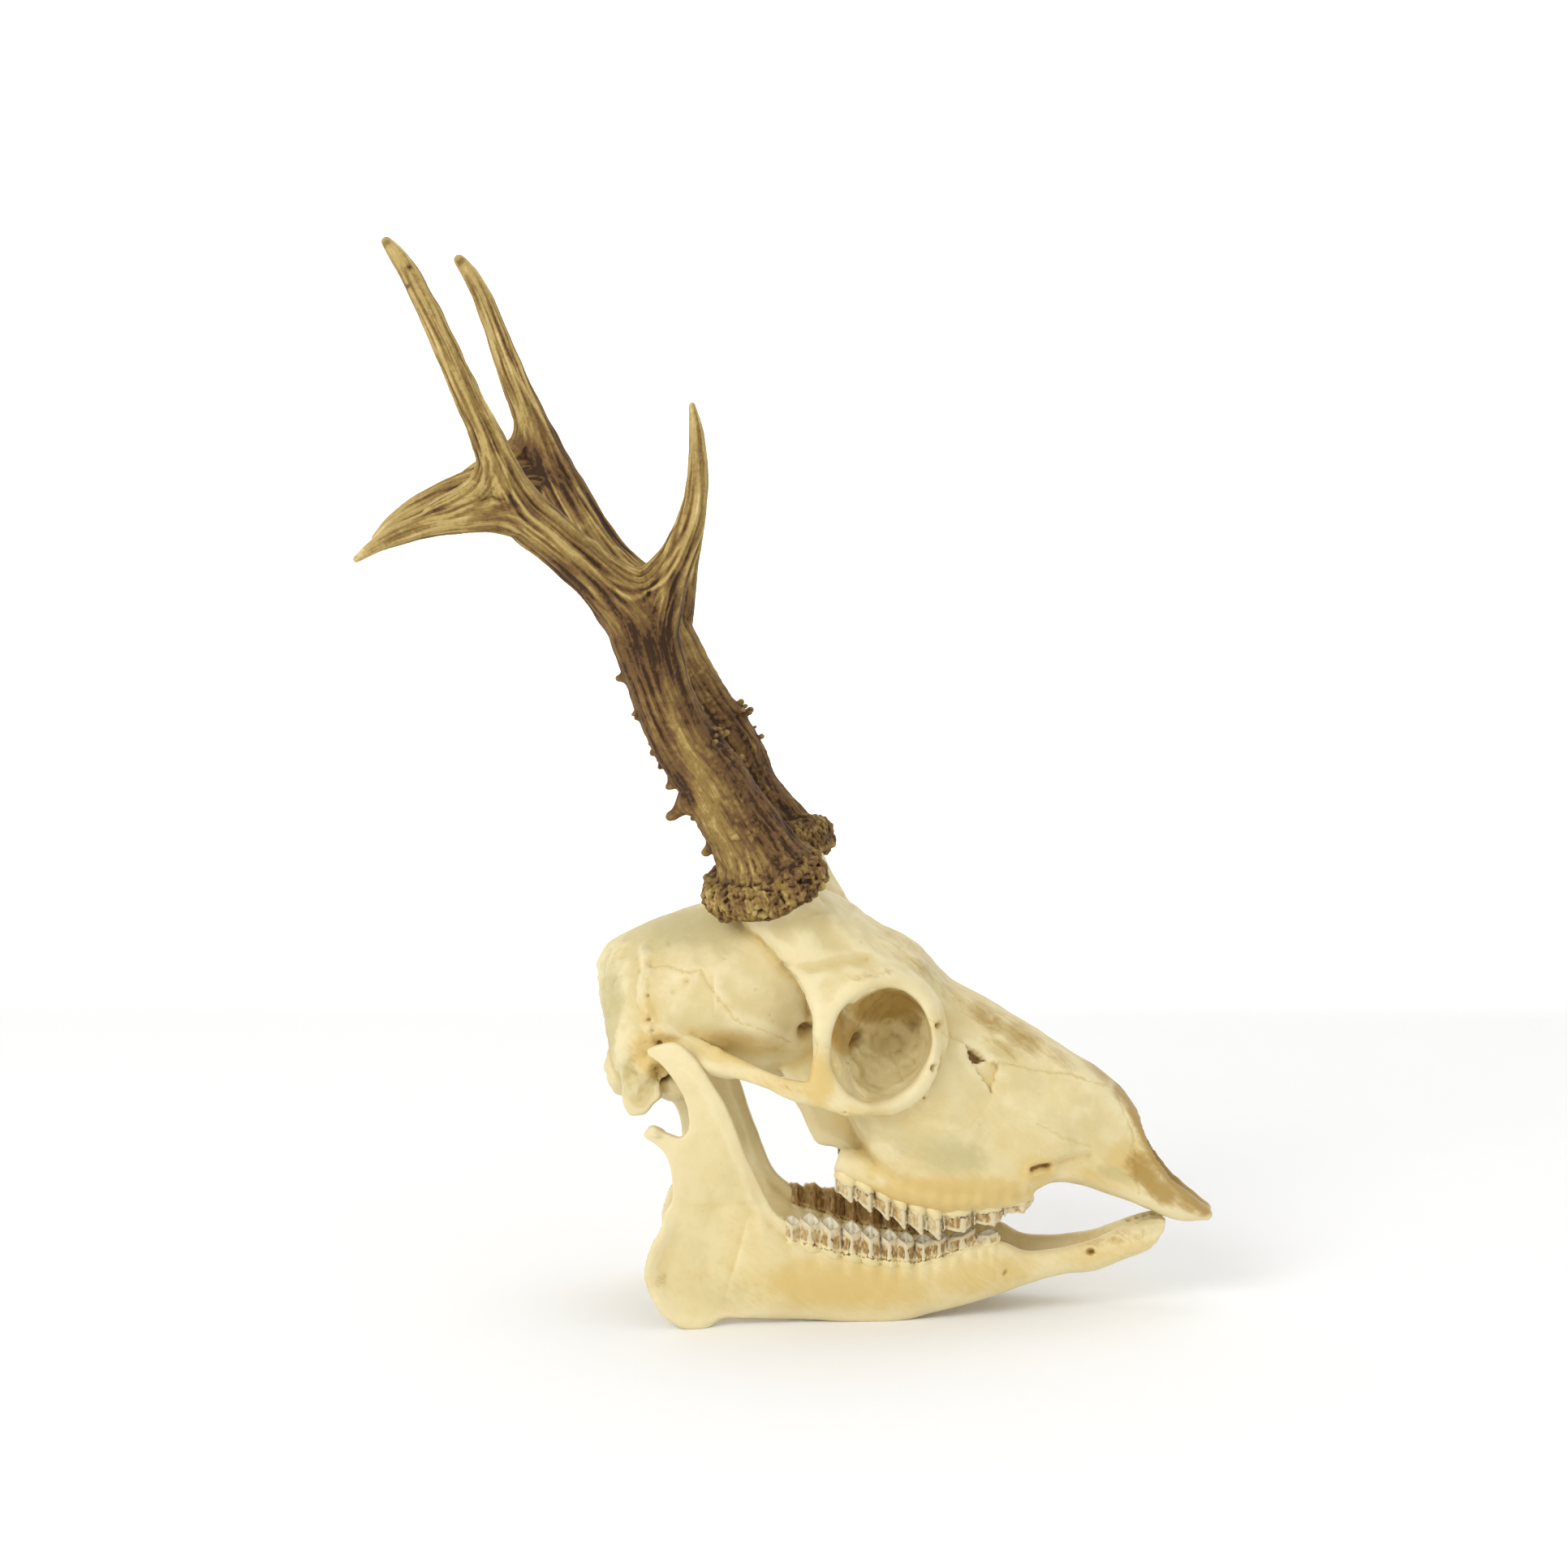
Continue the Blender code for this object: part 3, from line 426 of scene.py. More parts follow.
CRANIUM_BALLS = (  # x, distance from the mid plane, z, radii, turn: filled out where lofts and tubes meet
    ((-19, 30, 80.5), (9, 7, 3.2), (0, 14, 0)), ((19, 29.6, 111.2), (15, 4.2, 11), (36, 15, 0)),
    ((15, 35.2, 108), (8, 3.2, 5.5), (20, 10, 0)), ((-48.5, 12.5, 75.5), (6.2, 7.5, 8.8), (0, -14, 0)),
    ((-33, 17, 73), (7.5, 5.5, 6.5), (0, 0, 0)), ((-39, 26, 80), (5.5, 5, 5), (0, 0, 0)),
)
NAPE_OPENING = ((-54, 0, 80), (12, 8.5, 7.5))
ANTLER_FEET = {  # the foot of each antler and a higher point on its axis
    RIGHT: ((-2.2, 22.5, 131.5), (-8.2, 24.0, 146.2)),
    LEFT: ((0.4, 22.5, 134.2), (-5.2, 24.0, 146.4)),
}
PEDICLE_RADIUS = 12.0
GAP = 0.3  # between pieces that touch
BODY_VOXEL, CRANIUM_VOXEL = 0.8, 0.5
SEAT_HEIGHT = 8  # of the cutter that levels a stump under its antler
CRANIUM_TRIANGLES = 190000
print("skull stations", len(SKULL_STATIONS), "and stations round each eye socket", len(SOCKET_RIM))


def foot_of(side):
    """Where an antler stands on its stump, and the way that it leans."""
    (x, y, z), (x1, y1, z1) = ANTLER_FEET[side]
    return np.array([x, side * y, z]), unit(np.array([x1 - x, side * (y1 - y), z1 - z]))


def level_loft(bm, stations, count, points):
    """A loft through stations of top, bottom and the half widths at LEVELS, drawn in the side view."""
    table = []
    for top, bottom, widths in stations:
        half = list(zip(widths, LEVELS))
        ring = flow([(0, 0), *half, (0, 1), *((-w, t) for w, t in reversed(half))], points, closed=True)
        x, z = (top[k] + (bottom[k] - top[k]) * ring[:, 1] for k in (0, 1))
        table.append(np.stack([x, ring[:, 0], z], 1).ravel())
    loft(bm, flow(table, count).reshape(count, points, 3))


# %% Cranium: solids and openings


def cranium_solids():
    bm = bmesh.new()
    level_loft(bm, SKULL_STATIONS, 110, 72)
    for side in (RIGHT, LEFT):
        tube(bm, mirrored(CHEEK_ARCH, side))
        tube(bm, mirrored(BROW_BAR, side))
        tube(bm, mirrored((*SOCKET_RIM, *SOCKET_RIM[:2]), side))
        for stations in (BROW_SHEET, GUM_RIDGE, EAR_RIDGE):
            tube(bm, mirrored(stations, side))
        for (x, y, z), radii, turn in CRANIUM_BALLS:
            ball(bm, (x, side * y, z), radii, (side * turn[0], *turn[1:]))
        plate(bm, EAR_SPUR, *sorted((side * 22.8, side * 25.6)), edge=0.3)
        plate(bm, THROAT_WING, *sorted((side * 10.5, side * 14.0)), edge=0.5)
        foot, lean = foot_of(side)
        stump = [foot - lean * 15 - (0, side * 4, 0), foot - lean * 7 - (0, side, 0), foot + lean * 2]
        tube(bm, [(*p, r, r) for p, r in zip(stump, (13.6, 12.3, PEDICLE_RADIUS))], points=40)
    return bm


def openings():
    """The cutters, one bmesh after another, because two that touch would confuse a Boolean."""
    centre, radii, turn = ORBIT
    bm = bmesh.new()
    for side in (RIGHT, LEFT):
        ball(bm, (centre[0], -side * centre[1], centre[2]), radii, (0, 8, side * turn), detail=5)
    yield bm
    for stations in (PALATE, NOSTRIL):
        bm = bmesh.new()
        tube(bm, stations, points=32, steps=8)
        yield bm
    bm = bmesh.new()
    ball(bm, *NAPE_OPENING, detail=5)
    yield bm


def seat_cutter(side):
    """Takes off all of a stump that reaches above the flat under its antler."""
    foot, lean = foot_of(side)
    bm = bmesh.new()
    middle = Vector(foot + lean * (SEAT_HEIGHT / 2 - GAP / 2)) * MM
    place = Matrix.Translation(middle) @ Vector(lean).to_track_quat("Z", "Y").to_matrix().to_4x4()
    r, depth = PEDICLE_RADIUS * 1.5 * MM, SEAT_HEIGHT * MM
    bmesh.ops.create_cone(bm, cap_ends=True, segments=48, radius1=r, radius2=r, depth=depth, matrix=place)
    return bm


def smooth_brush(p, edges, weight, rounds):
    for _ in range(max(1, round(rounds / COARSE**2))):
        p = p + weight[:, None] * (relaxed(p, edges, 1) - p)
    return p


def socket_ring(p, half_length, half_height):
    """Distance from the middle of the eye socket in the side view, as a share of an oval's half sizes."""
    return np.hypot((p[:, 0] - ORBIT[0][0]) / half_length, (p[:, 2] - ORBIT[0][2]) / half_height)


def brow_weight(p, n):
    """Where the brow has to be one calm sheet: below the antler, and round the front of the eye socket."""
    ring = socket_ring(p, 17.0, 19.6)
    calm = hill(np.hypot((p[:, 0] - 14) / 19, (p[:, 2] - 114) / 9.5), 1) * fade(ring, 1.02, 1.14)
    calm = np.maximum(calm, band(ring, 1.14, 1.6, 0.1) * fade(p[:, 0], 20, 27))
    calm = np.maximum(calm, 0.5 * band(ring, 0.85, 1.25, 0.08) * fade(p[:, 0], 26, 36))
    outside = (n[:, 1] * np.sign(p[:, 1]) > -0.2) * (p[:, 2] < 126)
    return np.clip(1.3 * calm, 0, 1) * fade(np.abs(p[:, 1]), 14, 20) * outside


cranium = fuse(as_object("cranium_bone", cranium_solids()), BODY_VOXEL, 6)
p, n, edges = read(cranium)
write(cranium, smooth_brush(p, edges, brow_weight(p, n), 160))
for cutter in openings():
    carve(cranium, cutter)
for side in (RIGHT, LEFT):
    carve(cranium, seat_cutter(side))
cranium = fuse(cranium, CRANIUM_VOXEL, 2)
print("cranium has", len(cranium.data.vertices), "points to sculpt")

# %% [markdown]
# ## The cranium: what the years and the muscles left on it
#
# Every line below is a real mark of a deer's skull, drawn in the side view as (x, z) in millimetres. The brushes
# read how far each point is from it. Both sides get the same lines. A little noise bends them, so that the two
# sides aren't exact mirrors.

# %% Cranium marks
BROW_GROOVE = (
    (-13.5, 124), (-8.1, 119.6), (-4.9, 115.9), (0, 110.8), (3.2, 107.8), (6.4, 105.1), (8.2, 100.2), (8.8, 95),
)
BROW_EDGE = ((-8.5, 125), (0.5, 117.0), (5, 111.5), (9.0, 105), (10.5, 99))
SQUAMOSAL_SUTURE = (
    (-24.1, 109.2), (-21.7, 105.3), (-18.3, 100.3), (-15.3, 97.1), (-12.9, 93.9), (-5.6, 91.3), (-1.2, 88.6), (3, 86),
)
PARIETAL_SUTURE = ((-41.1, 109.4), (-34.2, 110.2), (-27.9, 108.5), (-24.1, 109.2))
NAPE_CREST = ((-45, 116), (-41.5, 112.8), (-41.4, 109.1), (-41.8, 104.2), (-41.4, 99.2), (-40, 95.5), (-39.2, 89.3))
ROOT_OF_ARCH = ((-40, 92), (-33, 90.5), (-26, 88), (-18, 85.5))
VACUITY = (  # the gap in front of the eye
    (55.2, 86.2), (58.2, 84.3), (61, 82.2), (63.6, 80.4), (66.8, 79.6), (66.0, 76.6), (65.2, 73.4), (64.2, 70.2),
    (62, 73.4), (59.6, 77.2), (57.2, 81),
)
VACUITY_HOLE = ((55.8, 85.4), (58.4, 84.0), (61.2, 82.0), (62.4, 80.6), (59.6, 79.8), (57.2, 80.9))
NASAL_SUTURE = ((66.5, 79.6), (72, 78.2), (77.2, 76.6), (87.9, 75.1), (99.5, 70.9), (106.0, 68.4))
LACRIMAL_SUTURE = ((64.2, 70.2), (61.5, 66), (58, 62.5), (52, 60.5), (46, 61), (40.5, 64))
BROW_SUTURE = ((55.5, 86), (51.5, 88), (49.2, 90.5), (47.5, 93.5), (45, 95.5))
MUZZLE_SUTURE = ((103.5, 66.5), (104.8, 63.6), (107.0, 58), (108.2, 52.4), (109.2, 45), (109.6, 37.4))
CHEEK_CRACK = ((78, 61), (82.2, 58.6), (88, 55.6), (94.6, 52.9))
SOCKET_GROOVE = ((1.5, 112.2), (7, 111.8), (11.9, 112.6), (18, 113.2), (26, 113.4))
BAR_SUTURE = ((8.8, 88.2), (11, 89.8), (13.2, 88.4), (16.5, 89.2))
BROW_RIDGES = (
    ((10, 127), (22, 119), (33, 111), (42, 103), (50, 97)), ((22, 124), (34, 116), (42, 109), (48, 103)),
)
HOLES = (  # x, z, radius, depth
    (-34.2, 116.2, 0.8, 0.4), (-28.3, 106.1, 0.8, 0.45), (-32.3, 102.8, 0.6, 0.35), (8.0, 88.9, 2.3, 5.0),
    (46.5, 80.8, 1.0, 3.0), (47.9, 93.6, 0.9, 2.5), (44.6, 86.0, 0.6, 0.9), (19.6, 69.0, 0.5, 1.0),
    (-39.5, 94.5, 0.9, 1.5), (-36.6, 77.6, 2.4, 4.5), (-33.6, 82.2, 1.3, 2.6), (-36.5, 87.0, 1.0, 2.0),
    (-31, 77.5, 1.5, 3.0), (-3.2, 95.6, 0.35, 0.4), (-38.6, 91.0, 0.7, 1.4), (-40.2, 101.5, 0.6, 1.0),
    (-2.4, 93.8, 0.3, 0.4), (24, 117.4, 0.35, 0.4),
    (43.5, 71.6, 0.5, 0.8), (60.5, 62.0, 0.4, 0.4), (-7.5, 103.5, 0.4, 0.35), (-17.0, 113.0, 0.4, 0.3),
)
CHEEK_SLIT = ((76.6, 47.2), (79.2, 47.8), (81.6, 47.6))  # where the nerve of the upper lip comes out
NERVE_GROOVE = ((82, 47.5), (88, 49), (94, 50))
SOCKET_SEAMS = (
    ((17, 80), (24, 83.5), (30, 81), (36, 82.5), (43, 79)), ((27, 104), (29, 96), (25, 91), (24, 84)),
    ((33, 82), (37, 75), (36, 70)),
)
SOCKET_HOLES = ((23.8, 88.0, 1.7, 3.5), (29.6, 68.9, 2.2, 4.0), (21.8, 86.8, 0.9, 1.5), (42.2, 80.5, 0.4, 0.6))
UPPER_GAPS = (16.7, 28.5, 38.6, 49.2, 58.3, 67.6, 76.7)  # between the upper teeth, from the last molar
GUM_HEIGHTS = ((16, 28, 39, 49, 59, 68, 77), (46, 42.5, 37.6, 34.6, 35, 35.2, 37))  # x, and z of the gum's edge
EAR_PLACE = (-39, 80)


def side_view(p, wobble=0.0, size=2.5, seed=0):
    """Each point's (x, z), shaken a little so that a line that is drawn on it turns ragged."""
    flat = p[:, [0, 2]].copy()
    if wobble:
        flat[:, 0] += wobble * noise(p, size, seed)
        flat[:, 1] += wobble * noise(p, size, seed + 1)
    return flat


def socket_mask(p):
    """1 inside the eye socket and 0 outside it, with a soft edge that runs just inside its rim."""
    ring = socket_ring(p, 16.6, 20.0)
    reach = 0.98 - 0.13 * fade(np.abs(p[:, 1]), 29, 35)
    return 1 - fade(ring, reach - 0.05, reach + 0.02)


def sculpt_cranium(p, n, edges):
    inner = (1 - fade(socket_ring(p, 17.5, 20.0), 1.0, 1.08)) * fade(np.abs(p[:, 1]), 8, 14)
    p = smooth_brush(p, edges, 0.95 * np.maximum(inner, hill(line_distance(side_view(p), BROW_EDGE), 5)), 40)
    out = np.abs(p[:, 1])  # distance from the mid plane
    flat = side_view(p)
    ragged = side_view(p, 0.6, 1.3, 5)
    wavy = side_view(p, 1.0, 6, 9)
    looks_out = fade(np.sign(p[:, 1]) * n[:, 1], 0.05, 0.35)
    in_socket = socket_mask(p)
    open_face = looks_out * (1 - in_socket)
    high = np.zeros(len(p))

    brain = open_face * fade(out, 12, 20)
    for view, line, height, width in (
        (wavy, BROW_GROOVE, -0.9, 1.5), (wavy, BROW_EDGE, 0.9, 2.4), (wavy, NAPE_CREST, 1.3, 1.6),
        (wavy, ROOT_OF_ARCH, 0.9, 1.5), (ragged, SQUAMOSAL_SUTURE, -0.3, 0.4),
    ):
        high += height * brain * hill(line_distance(view, line), width)
    high += 0.5 * brain * fade(-(line_distance(flat, SQUAMOSAL_SUTURE) - 5), 0, 5) * (flat[:, 0] > -20)
    high -= 0.22 * brain * hill(line_distance(ragged, PARIETAL_SUTURE), 0.4)
    high -= 0.8 * open_face * hill(line_distance(wavy, SOCKET_GROOVE), 1.5)
    high -= 0.35 * open_face * hill(line_distance(ragged, BAR_SUTURE), 0.35)
    for ridge in BROW_RIDGES:
        high += 0.6 * fade(n[:, 2], 0.1, 0.5) * hill(line_distance(wavy, ridge), 1.8)
    bent = side_view(p, 0.5, 2.2, 6)
    for line, depth in (
        (NASAL_SUTURE, 0.34), (LACRIMAL_SUTURE, 0.12), (BROW_SUTURE, 0.26), (MUZZLE_SUTURE, 0.3), (CHEEK_CRACK, 0.25),
    ):
        high -= depth * open_face * hill(line_distance(bent, line), 0.36)
    slit = line_distance(flat, CHEEK_SLIT)
    high += 0.5 * open_face * hill(slit - 1.9, 1.1) - 2.2 * open_face * hill(slit, 0.8)
    high -= 0.7 * open_face * hill(line_distance(flat, NERVE_GROOVE), 1.6)

    chipped = side_view(p, 0.5, 1.6, 12)
    edge = line_distance(chipped, (*VACUITY, VACUITY[0]))
    high -= 0.8 * (open_face * np.where(inside(chipped, VACUITY), fade(edge, 0.0, 0.7), 0))
    high -= 3.6 * open_face * np.where(inside(side_view(p, 0.4, 1.6, 12), VACUITY_HOLE), 1, 0)

    for x, z, radius, depth in HOLES:
        high -= depth * open_face * hill(near(flat, x, z), radius)
    socket_face = looks_out * in_socket
    for x, z, radius, depth in SOCKET_HOLES:
        high -= depth * socket_face * hill(near(flat, x, z), radius)
    high += 1.2 * socket_face * noise(p, 8, 21) + 0.4 * socket_face * noise(p, 3, 22)
    for line in SOCKET_SEAMS:
        high -= 0.22 * socket_face * hill(line_distance(bent, line), 0.45)

    gum = np.interp(p[:, 0], *GUM_HEIGHTS)
    roots = open_face * fade(p[:, 2], gum - 3, gum + 0.5) * (1 - fade(p[:, 2], gum + 3, gum + 12)) * fade(out, 10, 14)
    roots *= fade(p[:, 0], 14, 20) * (1 - fade(p[:, 0], 76, 80))
    phase = np.interp(p[:, 0], UPPER_GAPS, np.arange(7))
    high += 0.2 * roots * np.cos(2 * math.tau * phase + math.pi)

    nape = fade(-n[:, 0], 0.3, 0.7) * fade(-p[:, 0], 38, 44)
    high += 0.6 * nape * noise(p, 6.0, 30) + 0.28 * nape * noise(p, 2.6, 31) + 0.14 * nape * noise(p, 1.2, 32)
    crest = brain * hill(line_distance(flat, NAPE_CREST), 3.5)
    high += crest * (0.3 * noise(p, 2.6, 34) + 0.18 * noise(p, 1.2, 38))
    ear = fade(out, 12, 18) * hill(np.hypot(flat[:, 0] - EAR_PLACE[0], (flat[:, 1] - EAR_PLACE[1]) * 0.7), 10)
    high += ear * (0.5 * noise(p, 3.4, 33) + 0.22 * noise(p, 1.5, 37))
    muzzle = fade(p[:, 0], 100, 112)
    high += 0.16 * muzzle * noise(p, (9, 2, 2), 35)
    high -= 0.3 * fade(n[:, 2], 0.3, 0.6) * hill(p[:, 1] + 0.5 * noise(p, 2.5, 36), 0.4) * fade(p[:, 0], -10, 0)
    high += 0.45 * noise(p, 14, 1) + 0.16 * noise(p, 5, 2) + 0.04 * noise(p, 1.4, 3)
    return p + n * high[:, None]


p, n, edges = read(cranium)
shaped = sculpt_cranium(p, n, edges)
write(cranium, shaped)
print("cranium sculpted, moved up to", round(float(np.abs(shaped - p).max()), 1), "mm")

# %% [markdown]
# ## The cranium: where it is stained and shaded
#
# Old bone isn't one colour. Fat leaves it yellow, and soil and leaves leave it brown and olive. Every hollow is
# made darker, wide dips get painted shade, and the top and back of each eye socket get painted shadow. The places
# are painted as soft spots in the side view and kept as numbers on the points. The material decides later what
# colour each stain is and breaks its edges up.

# %% Cranium stains and painted shade
BROWN_SPOTS = (  # x, z, half length, half height, degrees, strength, least y, most y
    (40, 111, 11, 3.4, -38, 0.42, 0, 24), (34, 116, 7, 3, -25, 0.3, 0, 20), (52, 99, 10, 3.0, -38, 0.36, 2, 30),
    (63, 92, 9, 3.4, -35, 0.62, 2, 30), (73, 86, 10, 3.8, -33, 0.62, 2, 30), (67, 83.5, 8, 3, -32, 0.5, 3, 30),
    (85, 79.5, 8, 2.6, -33, 0.42, 3, 30), (98, 74, 8, 1.8, -38, 0.55, 0, 14), (105, 68.5, 5, 2.0, -42, 0.6, 0, 14),
    (111.5, 44, 10, 4.6, -52, 0.8, 0, 14), (117, 38, 7, 4.0, -34, 0.85, 0, 14), (125, 34.5, 7, 3.2, -30, 0.7, 0, 14),
    (26, 109.4, 9, 1.5, 8, 0.42, 28, 40), (5, 76, 5, 1.4, -15, 0.3, 30, 45), (-36, 79, 5, 5, 0, 0.5, 20, 34),
    (-3, 84, 6, 1.6, -20, 0.35, 20, 40), (8.5, 89, 3, 3, 0, 0.6, 20, 40),
)
MUZZLE_EDGE = (
    (104.5, 69.5), (107.5, 66), (109.3, 62), (112.5, 54.5), (116.5, 46.5), (120.5, 41.2), (126, 35.8), (130.5, 32.6),
)
# Painted shadow in the top and back of each eye socket, laid on in brown.
SOCKET_SHADOW_SPOTS = (
    (31, 98, 13, 7, 0, 1.0, 0, 36), (19, 90, 6, 9, 0, 0.85, 0, 36), (39, 94, 5, 6, 0, 0.6, 0, 36),
)
OCHRE_SPOTS = (
    (50, 41, 30, 6.5, 0, 1.0, 8, 40), (78, 47, 7, 6, 0, 0.8, 6, 30), (33, 47, 12, 8, 0, 0.5, 14, 40),
    (12, 79, 5, 10, 0, 0.9, 34, 48), (-38, 84, 8, 8, 0, 1.0, 16, 40), (-40, 97, 4, 6, 0, 0.6, 14, 40),
    (-14, 86, 16, 5, -8, 0.7, 16, 45), (2, 77, 16, 3.5, -12, 0.55, 30, 48), (70, 58, 26, 9, -28, 0.3, 10, 30),
    (106, 48, 9, 9, 0, 0.6, 0, 16), (24, 69, 12, 4, 0, 0.45, 34, 48), (33, 105, 5, 4, 0, 0.35, 20, 40),
    (100, 43, 16, 5, -12, 0.55, 0, 20), (48, 94, 5, 6, 0, 0.4, 20, 40), (44, 68, 12, 5, 20, 0.35, 20, 44),
)
OLIVE_SPOTS = (
    (-32, 120, 18, 6, 12, 0.75, 0, 26), (-18, 118, 9, 5, -30, 0.5, 8, 30), (-52, 95, 5, 16, 0, 0.9, 0, 26),
    (52, 53, 14, 7, -15, 0.7, 16, 40), (36, 56, 9, 6, 0, 0.4, 16, 44), (103, 43.5, 9, 3, -20, 0.7, 0, 16),
    (46, 106, 9, 3, -38, 0.6, 0, 24), (86, 60, 14, 6, -20, 0.35, 8, 24), (-46, 76, 6, 8, 0, 0.5, 0, 30),
)
SEAMS = (SQUAMOSAL_SUTURE, PARIETAL_SUTURE, NASAL_SUTURE, BROW_SUTURE, MUZZLE_SUTURE, CHEEK_CRACK)
FINE, BROAD = 14, 70  # rounds of smoothing that find small hollows and wide dips


def spots(p, table):
    """How strongly each point is covered by soft ovals that are drawn in the side view."""
    found = np.zeros(len(p))
    for x, z, long, tall, turn, strength, least, most in table:
        a = math.radians(turn)
        dx, dz = p[:, 0] - x, p[:, 2] - z
        u, v = (dx * math.cos(a) + dz * math.sin(a)) / long, (dz * math.cos(a) - dx * math.sin(a)) / tall
        out = np.abs(p[:, 1])
        room = (fade(out, least - 3, least) if least else 1) * (1 - fade(out, most, most + 3))
        found = np.maximum(found, strength * room * np.exp(-((u * u + v * v) ** 1.5)))
    return found


def paint_cranium():
    p, n, edges = read(cranium)
    out = np.abs(p[:, 1])
    in_socket = socket_mask(p)
    # Brown stains outside the eye socket, and painted shadow inside it.
    brown = np.maximum(spots(p, BROWN_SPOTS) * (1 - in_socket), spots(p, SOCKET_SHADOW_SPOTS) * in_socket)
    brown = np.maximum(brown, 0.95 * hill(line_distance(side_view(p), MUZZLE_EDGE), 3.0) * (out < 16))
    flat = side_view(p, 0.6, 1.3, 5)
    seams = [line_distance(flat, line) for line in SEAMS]
    paint(cranium, "stain_and_shade", np.stack([brown, spots(p, OCHRE_SPOTS), spots(p, OLIVE_SPOTS)], 1))
    paint(cranium, "seam", np.minimum(np.min(seams, axis=0), 5) + 5 * (out < 6))
    paint(cranium, "hollow", hollowness(p, n, edges, FINE))
    dip = hollowness(p, n, edges, BROAD)
    paint(cranium, "dip", dip - in_socket * (0.7 * dip + 0.14))  # inside the socket the dips get weaker painted shade, and the bone is paler


paint_cranium()
thinned(cranium, CRANIUM_TRIANGLES / COARSE**2)
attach(cranium, "root")
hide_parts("cranium")

# %% [markdown]
# ## The lower jaw
#
# Each half is modelled flat, like a cut-out, and then bent so that the two halves spread to the back and lean
# out at the hinge. It is much easier to keep a thin blade even on the bench than in its final slanted place.

# %% Jaw sizes
JAW_STATIONS = (
    ((118.5, 28.5), (117.5, 24.5), 3.4), ((114, 28.5), (114, 19.2), 4.6), ((105, 25.8), (106, 15.6), 4.6),
    ((96, 22.0), (97, 12.4), 3.9), ((85, 19.8), (87, 11.6), 3.1), ((75, 19.6), (76, 9.4), 3.2),
    ((67.5, 23.0), (67, 6.6), 3.9), ((58, 22.9), (58, 4.0), 4.6), ((48, 19.8), (47, 1.6), 5.0),
    ((37, 18.0), (35, -0.9), 5.2), ((24, 19.8), (22, -0.9), 5.2), ((11, 23.6), (9, 0.6), 5.0),
    ((1, 28.0), (-6, 1.6), 4.2), ((-8, 38), (-18, 3), 2.4),
)
JAW_ROUND = (0.62, 0.94, 1, 0.92, 0.6)  # how the half width changes from top to bottom
JAW_UPRIGHT = (
    (5, 26.5), (-2.4, 35.5), (-7.8, 47.7), (-11, 55), (-13.4, 62.5), (-16, 69), (-19.1, 74.6), (-22.1, 79.5),
    (-25.9, 84.7), (-31.5, 89), (-39.8, 86.6), (-35.4, 82.7), (-31.3, 77.4), (-28.6, 72), (-27.4, 66.6),
    (-27.7, 62), (-29.9, 59.6), (-32.6, 60.3), (-36, 61.8), (-38.2, 63.3), (-40.9, 60.5), (-37.7, 58.1),
    (-34.8, 55.1), (-33.3, 50.9), (-32.6, 44.9), (-32.9, 39.4), (-35, 35.6), (-35.5, 31.4), (-38.5, 25.9),
    (-40.2, 20.3), (-40.2, 15.1), (-37.8, 8.8), (-34.4, 4.1), (-30.2, 0.9), (-25.5, -1.0), (-21.3, 0.2),
    (-17, 2.4), (-8, 2.2), (4, 6),
)
JAW_SPREAD_X = (-41, -20, 5, 40, 66, 90, 105, 119)
JAW_SPREAD_Y = (34.5, 29.8, 23.4, 18.4, 13.6, 7.6, 4.3, 4.0)
UPRIGHT_TOP_Y = 37.4
LOWER_GAPS = (0.8, 18.4, 30.3, 40.9, 50.8, 59.7, 66.6)
JAW_GUM = ((0, 11, 24, 37, 48, 58, 68), (27, 23.4, 19.8, 18, 19.6, 22.6, 23.4))  # x, and z of the gum's edge
FRONT_SOCKETS = (115.2, 112.6, 110.2, 107.6)  # x of the empty sockets of the front teeth
CHEWING_HOLLOW = ((-30, 14), (-24, 10), (-12, 16), (-12, 30), (-16, 44), (-24, 50), (-28, 36))
ANGLE_RIM = (
    (-35.2, 31.4), (-38.0, 25.9), (-39.4, 20.3), (-39.4, 15.1), (-37.0, 8.8), (-33.6, 4.6), (-29, 1.6), (-24, 0.6),
)
UPRIGHT_RIDGE = ((-5, 30), (-12, 50), (-18, 66), (-25, 80))
LIP_HOLE, SIDE_PIT, NERVE_HOLE = (95.2, 19.2), (68.3, 13.9), (-14, 38)  # the last one is on the tongue side
JAW_HINGE = ((-37.2, -2.4, 60.8), (3.2, 5.6, 1.1), (0, 24, 0))  # centre, radii, turn
JAW_OCHRE = (
    (20, 12, 34, 9, -4, 0.75, 0, 60), (60, 14, 22, 8, 6, 0.6, 0, 60), (100, 19, 18, 5, 10, 0.5, 0, 60),
    (-6, 26, 9, 16, 40, 0.35, 0, 60),
)
JAW_BROWN = (
    (95, 19.2, 1.6, 1.3, 0, 0.9, 0, 60), (68.3, 13.9, 1.6, 0.8, 60, 0.7, 0, 60), (104, 23, 10, 2.2, 15, 0.4, 0, 60),
    (-36, 15.8, 3, 2.4, 40, 0.45, 0, 60),
)
JAW_OLIVE = ((113, 27, 6, 3, 10, 0.5, 0, 60), (-14, 10, 12, 8, 0, 0.35, 0, 60))
JAW_VOXEL, JAW_TRIANGLES = 0.48, 110000
print("jaw stations", len(JAW_STATIONS), "and points round the upright blade", len(JAW_UPRIGHT))


def jaw_y(x, z):
    """How far the jaw's own middle plane is from the mid plane of the head."""
    spread = np.interp(x, JAW_SPREAD_X, JAW_SPREAD_Y)
    return spread + (UPRIGHT_TOP_Y - spread) * np.clip((z - 38) / 40, 0, 1)


# %% Jaw shape


def jaw_solids():
    bm = bmesh.new()
    stations = [(top, bottom, [half * share for share in JAW_ROUND]) for top, bottom, half in JAW_STATIONS]
    level_loft(bm, stations, 90, 40)
    plate(bm, flow(JAW_UPRIGHT, 200, closed=True), -1.7, 1.7, 0.9)
    ball(bm, *JAW_HINGE)
    return bm


